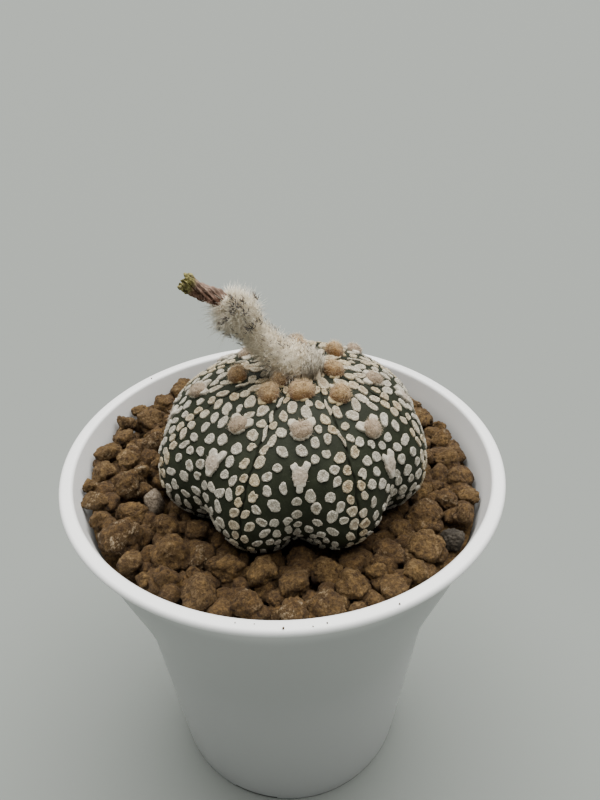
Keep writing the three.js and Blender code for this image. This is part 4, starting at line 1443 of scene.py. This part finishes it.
# Flower remnant
def along_path(path, share):
    """A smooth curve through the path's points."""
    points = np.array(path, dtype=float)
    ends = np.vstack([2 * points[0] - points[1], points, 2 * points[-1] - points[-2]])
    exact = np.clip(np.asarray(share, dtype=float), 0, 1) * (len(path) - 1)
    span = np.minimum(exact.astype(int), len(path) - 2)
    t = (exact - span)[..., None]
    a, b, c, d = (ends[span + offset] for offset in range(4))
    return 0.5 * (2 * b + (c - a) * t + (2 * a - 5 * b + 4 * c - d) * t**2 + (3 * b - a - 3 * c + d) * t**3)


def round_path(path, share, angle):
    """A point of the curve, the way ahead, and the way outward at an angle round it from its upper side."""
    step = 0.01
    ahead = along_path(path, np.minimum(share + step, 1)) - along_path(path, np.maximum(share - step, 0))
    ahead /= np.linalg.norm(ahead, axis=-1, keepdims=True)
    under = np.cross(ahead, (0.0, 1.0, 0.0))
    under /= np.linalg.norm(under, axis=-1, keepdims=True)
    outward = -under * np.cos(angle)[:, None] + np.cross(under, ahead) * np.sin(angle)[:, None]
    return along_path(path, share), ahead, outward


def path_radius(radii, share):
    exact = np.clip(share, 0, 1) * (len(radii) - 1)
    span = np.minimum(exact.astype(int), len(radii) - 2)
    low = np.array(radii)[span]
    high = np.array(radii)[span + 1]
    return lerp(low, high, smoothstep(exact - span))


def tube_surface(share, around, extra):
    """Points at a distance off the tube's core, with the ways outward and ahead."""
    middle, ahead, outward = round_path(TUBE_PATH, share, around)
    radius = path_radius(TUBE_CORE, share) + extra
    return middle + outward * radius[:, None], outward, ahead


STUB_CENTRE = placed(0, WIDEST_HEIGHT + DOME, 0) + np.array(STUB_SHIFT)
FLOWER_NODE = ("flower_wool", "flower_tube")


def flower_core():
    """The felted tube under the wool, with its thick base on the crown, and the felted foot of the brush."""

    def tube_place(across, along):
        share = np.clip((along - 0.06) / 0.88, 0, 1)
        around = across * TAU
        closing = np.clip(np.minimum(1, np.minimum(along / 0.06, (1 - along) / 0.06)), 0, 1)
        middle, ahead, outward = round_path(TUBE_PATH, share, around)
        radius = path_radius(TUBE_CORE, share) * np.sqrt(closing)
        radius = radius * (1 + 0.07 * np.sin(5 * around + 22 * share) * np.sin(31 * share + 2 * around))
        cap = (np.where(along < 0.5, -1, 1) * (1 - closing))[:, None] * ahead
        return middle + outward * radius[:, None] + cap

    def stub_place(across, along):
        around = across * TAU
        up = along * math.pi / 2
        radius = STUB_RADIUS * np.where(along < 0.02, 0, np.cos(up * 0.98) ** 0.5)
        radius = radius * (1 + 0.06 * np.sin(6 * around))
        height = STUB_CENTRE[2] - 0.6 + (STUB_HEIGHT * 0.75 + 0.6) * np.sin(up)
        return turned_out(STUB_CENTRE, radius, around, height)

    tube = bent_grid("flower_core", 48, 90, tube_place)
    stub = bent_grid("flower_stub", 40, 24, stub_place, merge=1e-5)
    material = hair_finish("flower_felt", (0.72, 0.63, 0.47), (0.8, 0.72, 0.56))
    for piece in (tube, stub):
        paint_all(piece, "tint", 0.3)
        finish(piece, material, *FLOWER_NODE)


def tube_wool(rng):
    """The wool of the tube, longest on the bulb and round the foot."""
    count = TUBE_HAIRS
    share = rng.uniform(0.0, 1.0, count)
    bulb = rng.uniform(0, 1, count) < 0.3
    share = np.where(bulb, np.clip(rng.normal(0.79, 0.08, count), 0, 1), share)
    around = rng.uniform(0, TAU, count)
    roots, outward, ahead = tube_surface(share, around, -0.25)
    in_bulb = smoothstep((share - 0.66) / 0.08)
    at_foot = smoothstep((0.42 - share) / 0.3)
    lengths = rng.uniform(0.8, 1.9, count) + 0.9 * in_bulb * rng.uniform(0, 1, count)
    lower = np.clip(0.3 - outward[:, 2], 0, 1)
    lengths += lower * np.maximum(at_foot, 0.8 * in_bulb) * rng.uniform(0, 1, count)
    ways = outward + ahead * rng.uniform(0.1, 1.0, count)[:, None] + rng.normal(0, 0.45, roots.shape)
    curls = rng.normal(0, 0.42, roots.shape) + np.array([0, 0, -0.12])
    shades = rng.uniform(0, 0.75, count) ** lerp(2.2, 3.6, in_bulb)
    tan = (rng.uniform(0, 1, count) < lerp(0.28, 0.1, in_bulb)).astype(float)
    widths = rng.uniform(0.03, 0.055, count)
    colours = ((0.76, 0.65, 0.44), (0.97, 0.91, 0.76), (0.36, 0.26, 0.15))
    hairs("flower_wool", colours, FLOWER_NODE, 2, roots, ways, lengths, widths, curls, shades, tan)


def brush_wool(rng):
    """The upright brush of thicker strands beside the tube."""
    count = BRUSH_HAIRS
    around = rng.uniform(0, TAU, count)
    out = np.sqrt(rng.uniform(0, 1, count))
    low = STUB_HEIGHT * 0.7 * np.sqrt(np.clip(1 - out**2.4, 0, 1)) * rng.uniform(0, 1, count) ** 0.5
    roots = turned_out(STUB_CENTRE, STUB_RADIUS * out, around, STUB_CENTRE[2] - 0.4 + low)
    lean = (roots - STUB_CENTRE) * np.array([0.04, 0.04, 0])
    ways = np.array([-0.08, 0, 1.0]) + lean + rng.normal(0, 0.08, roots.shape)
    lengths = rng.uniform(1.7, 3.0, count) * lerp(1.35, 1, low / STUB_HEIGHT)
    curls = rng.normal(0, 0.12, roots.shape)
    # A third of the strands are dark: painted shade for the dark gaps between the strands
    is_dark = rng.uniform(0, 1, count) < 0.34
    shades = np.where(is_dark, rng.uniform(0.6, 1, count), rng.uniform(0, 0.35, count))
    widths = rng.uniform(0.055, 0.09, count)
    colours = ((0.3, 0.25, 0.17), (0.73, 0.67, 0.54), None, (0.16, 0.135, 0.1))
    hairs("stub_wool", colours, FLOWER_NODE, 2, roots, ways, lengths, widths, curls, shades)


def dark_bristles():
    """Stiff dark scale tips that stand out of the wool, in clusters on the bulb and scattered on the tube."""
    rng = np.random.default_rng(29)
    front = [place for place, _ in BRISTLE_CLUSTERS]
    turns = np.radians([turn for _, turn in BRISTLE_CLUSTERS])
    share = np.repeat(front + list(rng.uniform(0.68, 0.94, CLUSTERS_BEHIND)), BRISTLES_EACH)
    around = np.repeat(np.concatenate([turns, rng.uniform(0.3, 3.4, CLUSTERS_BEHIND)]), BRISTLES_EACH)
    clustered = len(share)
    share = np.concatenate([share + rng.normal(0, 0.012, clustered), rng.uniform(0.05, 0.75, LONE_BRISTLES)])
    around = np.concatenate([around + rng.normal(0, 0.13, clustered), rng.uniform(0, TAU, LONE_BRISTLES)])
    count = len(share)
    on_bulb = np.arange(count) < clustered
    roots, outward, ahead = tube_surface(np.clip(share, 0, 1), around, np.where(on_bulb, 1.35, 0.9))
    ways = outward * 0.5 + ahead * rng.uniform(0.5, 1.2, count)[:, None] + rng.normal(0, 0.3, roots.shape)
    lengths = rng.uniform(0.7, 1.5, count) * np.where(on_bulb, 1, 0.75)
    curls = rng.normal(0, 0.12, roots.shape)
    widths = rng.uniform(0.07, 0.12, count)
    shades = rng.uniform(0, 1, count)
    colours = ((0.1, 0.065, 0.045), (0.025, 0.016, 0.013))
    hairs("dark_bristles", colours, FLOWER_NODE, 1, roots, ways, lengths, widths, curls, shades)


def dried_petals():
    """A twisted bundle of withered petals whose curled, olive-yellow tips close round a hollow."""

    def place(across, along):
        share = np.clip(along / PETAL_BODY_SHARE, 0, 1)
        inward = np.clip((along - PETAL_BODY_SHARE) / (1 - PETAL_BODY_SHARE), 0, 1)
        around = across * TAU
        middle, ahead, outward = round_path(PETAL_PATH, share, around + PETAL_TWIST * share)
        ridge = np.abs(np.sin(3.5 * around)) ** 0.7 * 0.5 + 0.13 * np.sin(11 * around + 5 * share)
        ridge += 0.08 * np.sin(17 * around - 4 * share) + 0.05 * np.sin(26 * around + 3 * share)
        ridge += 0.14 * np.sin(13 * share + 3 * around) + 0.09 * np.sin(29 * share + 4 * around)
        ridge += 0.06 * np.sin(53 * share - 7 * around)
        radius = path_radius(PETAL_RADII, share) * (0.92 - 0.12 * share) - 0.35 + ridge
        tip = smoothstep((share - 0.8) / 0.2)
        radius = radius + tip * (0.18 + 0.22 * np.sin(9 * around) * np.sin(5 * around + 30 * share))
        curl = inward * math.pi
        radius = np.where(inward > 0, radius * (0.42 + 0.58 * np.cos(curl / 2)) - 0.25 * np.sin(curl), radius)
        radius = radius * np.where(along < 0.01, 0.01, 1) * np.where(along > 0.997, 0.02, 1)
        frill = 0.3 * np.sin(7 * around) + 0.18 * np.sin(12 * around + 1)
        forward = tip * frill + 0.55 * np.sin(np.minimum(curl * 1.4, math.pi)) * (inward > 0)
        forward = forward - 2.0 * smoothstep((inward - 0.45) / 0.55)
        return middle + outward * radius[:, None] + ahead * forward[:, None]

    piece = bent_grid("dried_petals_bundle", 112, 130, place)
    corners = corners_of(piece) / MM
    length = np.array(PETAL_PATH[-1]) - PETAL_PATH[0]
    share = np.clip((corners - PETAL_PATH[0]) @ length / (length @ length), 0, 1.2)
    centre = along_path(PETAL_PATH, np.clip(share, 0, 1))
    away = np.linalg.norm(corners - centre, axis=1)
    olive = smoothstep((share - 0.78) / 0.14)
    upper_side = smoothstep((corners[:, 2] - centre[:, 2]) / 1.2)
    # Painted shade inside the closed tips, near the bundle's middle
    hollow = smoothstep((1.05 - away) / 0.5) * (share > 0.6)
    paint(piece.data, "tint", np.stack([olive, upper_side, hollow], axis=1))
    finish(piece, dry_petal(), "dried_petal", "dried_petals")


def petal_hair():
    """A few stray hairs on the petals."""
    rng = np.random.default_rng(33)
    count = PETAL_HAIRS
    share = rng.uniform(0.1, 0.98, count)
    middle, ahead, outward = round_path(PETAL_PATH, share, rng.uniform(0, TAU, count))
    roots = middle + outward * 1.2
    ways = outward + ahead * 0.5 + rng.normal(0, 0.4, roots.shape)
    lengths = rng.uniform(1.2, 2.6, count)
    curls = rng.normal(0, 0.3, roots.shape)
    shades = rng.uniform(0, 0.4, count)
    colours = ((0.3, 0.16, 0.1), (0.5, 0.3, 0.22))
    nodes = ("dried_petal", "dried_petals")
    hairs("petal_hair", colours, nodes, 2, roots, ways, lengths, np.full(count, 0.03), curls, shades)


# Stage
def stage():
    bpy.ops.mesh.primitive_plane_add(size=8, location=(0, 0, -0.0002))
    floor = bpy.context.object
    floor.name = "floor"
    material, tree = new_material("pale_floor")
    surface(tree, (0.2, 0.217, 0.203), Roughness=0.9, Specular_IOR_Level=0.2)
    floor.data.materials.append(material)


def lights():
    """Daylight from a wide, high window a little behind the plant, and a dim sky all round."""
    world = bpy.data.worlds.new("soft_daylight")
    bpy.context.scene.world = world
    world.use_nodes = True
    background = world.node_tree.nodes["Background"]
    background.inputs["Color"].default_value = (0.95, 0.98, 1, 1)
    background.inputs["Strength"].default_value = SKY_STRENGTH
    bpy.ops.object.light_add(type="SUN", location=(0, 0, 1))
    daylight = bpy.context.object
    daylight.name = "daylight"
    daylight.data.energy = DAYLIGHT_STRENGTH
    daylight.data.angle = DAYLIGHT_SPREAD
    daylight.data.color = (1, 0.985, 0.955)
    daylight.rotation_euler = Vector(DAYLIGHT_FROM).to_track_quat("Z", "Y").to_euler()


def camera():
    bpy.ops.object.camera_add(location=tuple(value * MM for value in CAMERA_PLACE))
    view = bpy.context.object
    view.name = "photo_view"
    forward = Vector((
        math.cos(CAMERA_PITCH) * math.sin(CAMERA_YAW),
        math.cos(CAMERA_PITCH) * math.cos(CAMERA_YAW),
        -math.sin(CAMERA_PITCH),
    ))
    right = Vector((math.cos(CAMERA_YAW), -math.sin(CAMERA_YAW), 0))
    up = right.cross(forward)
    across = right * math.cos(CAMERA_ROLL) + up * math.sin(CAMERA_ROLL)
    above = up * math.cos(CAMERA_ROLL) - right * math.sin(CAMERA_ROLL)
    view.matrix_world = Matrix((
        (across.x, above.x, -forward.x, CAMERA_PLACE[0] * MM),
        (across.y, above.y, -forward.y, CAMERA_PLACE[1] * MM),
        (across.z, above.z, -forward.z, CAMERA_PLACE[2] * MM),
        (0, 0, 0, 1),
    ))
    view.data.lens = CAMERA_LENS
    view.data.sensor_width = 36
    view.data.clip_start = 0.01
    bpy.context.scene.camera = view


camera()
stage()
lights()
plastic_pot()
clay_granules()
soil_filling()
odd_stones()
lip_crumbs()
buttons = button_places()
body_skin()
root()
wool_flecks(fleck_places(buttons))
woolly_buttons(buttons)
button_hair(buttons)
flower_core()
wool_draws = np.random.default_rng(17)
tube_wool(wool_draws)
brush_wool(wool_draws)
dark_bristles()
dried_petals()
petal_hair()
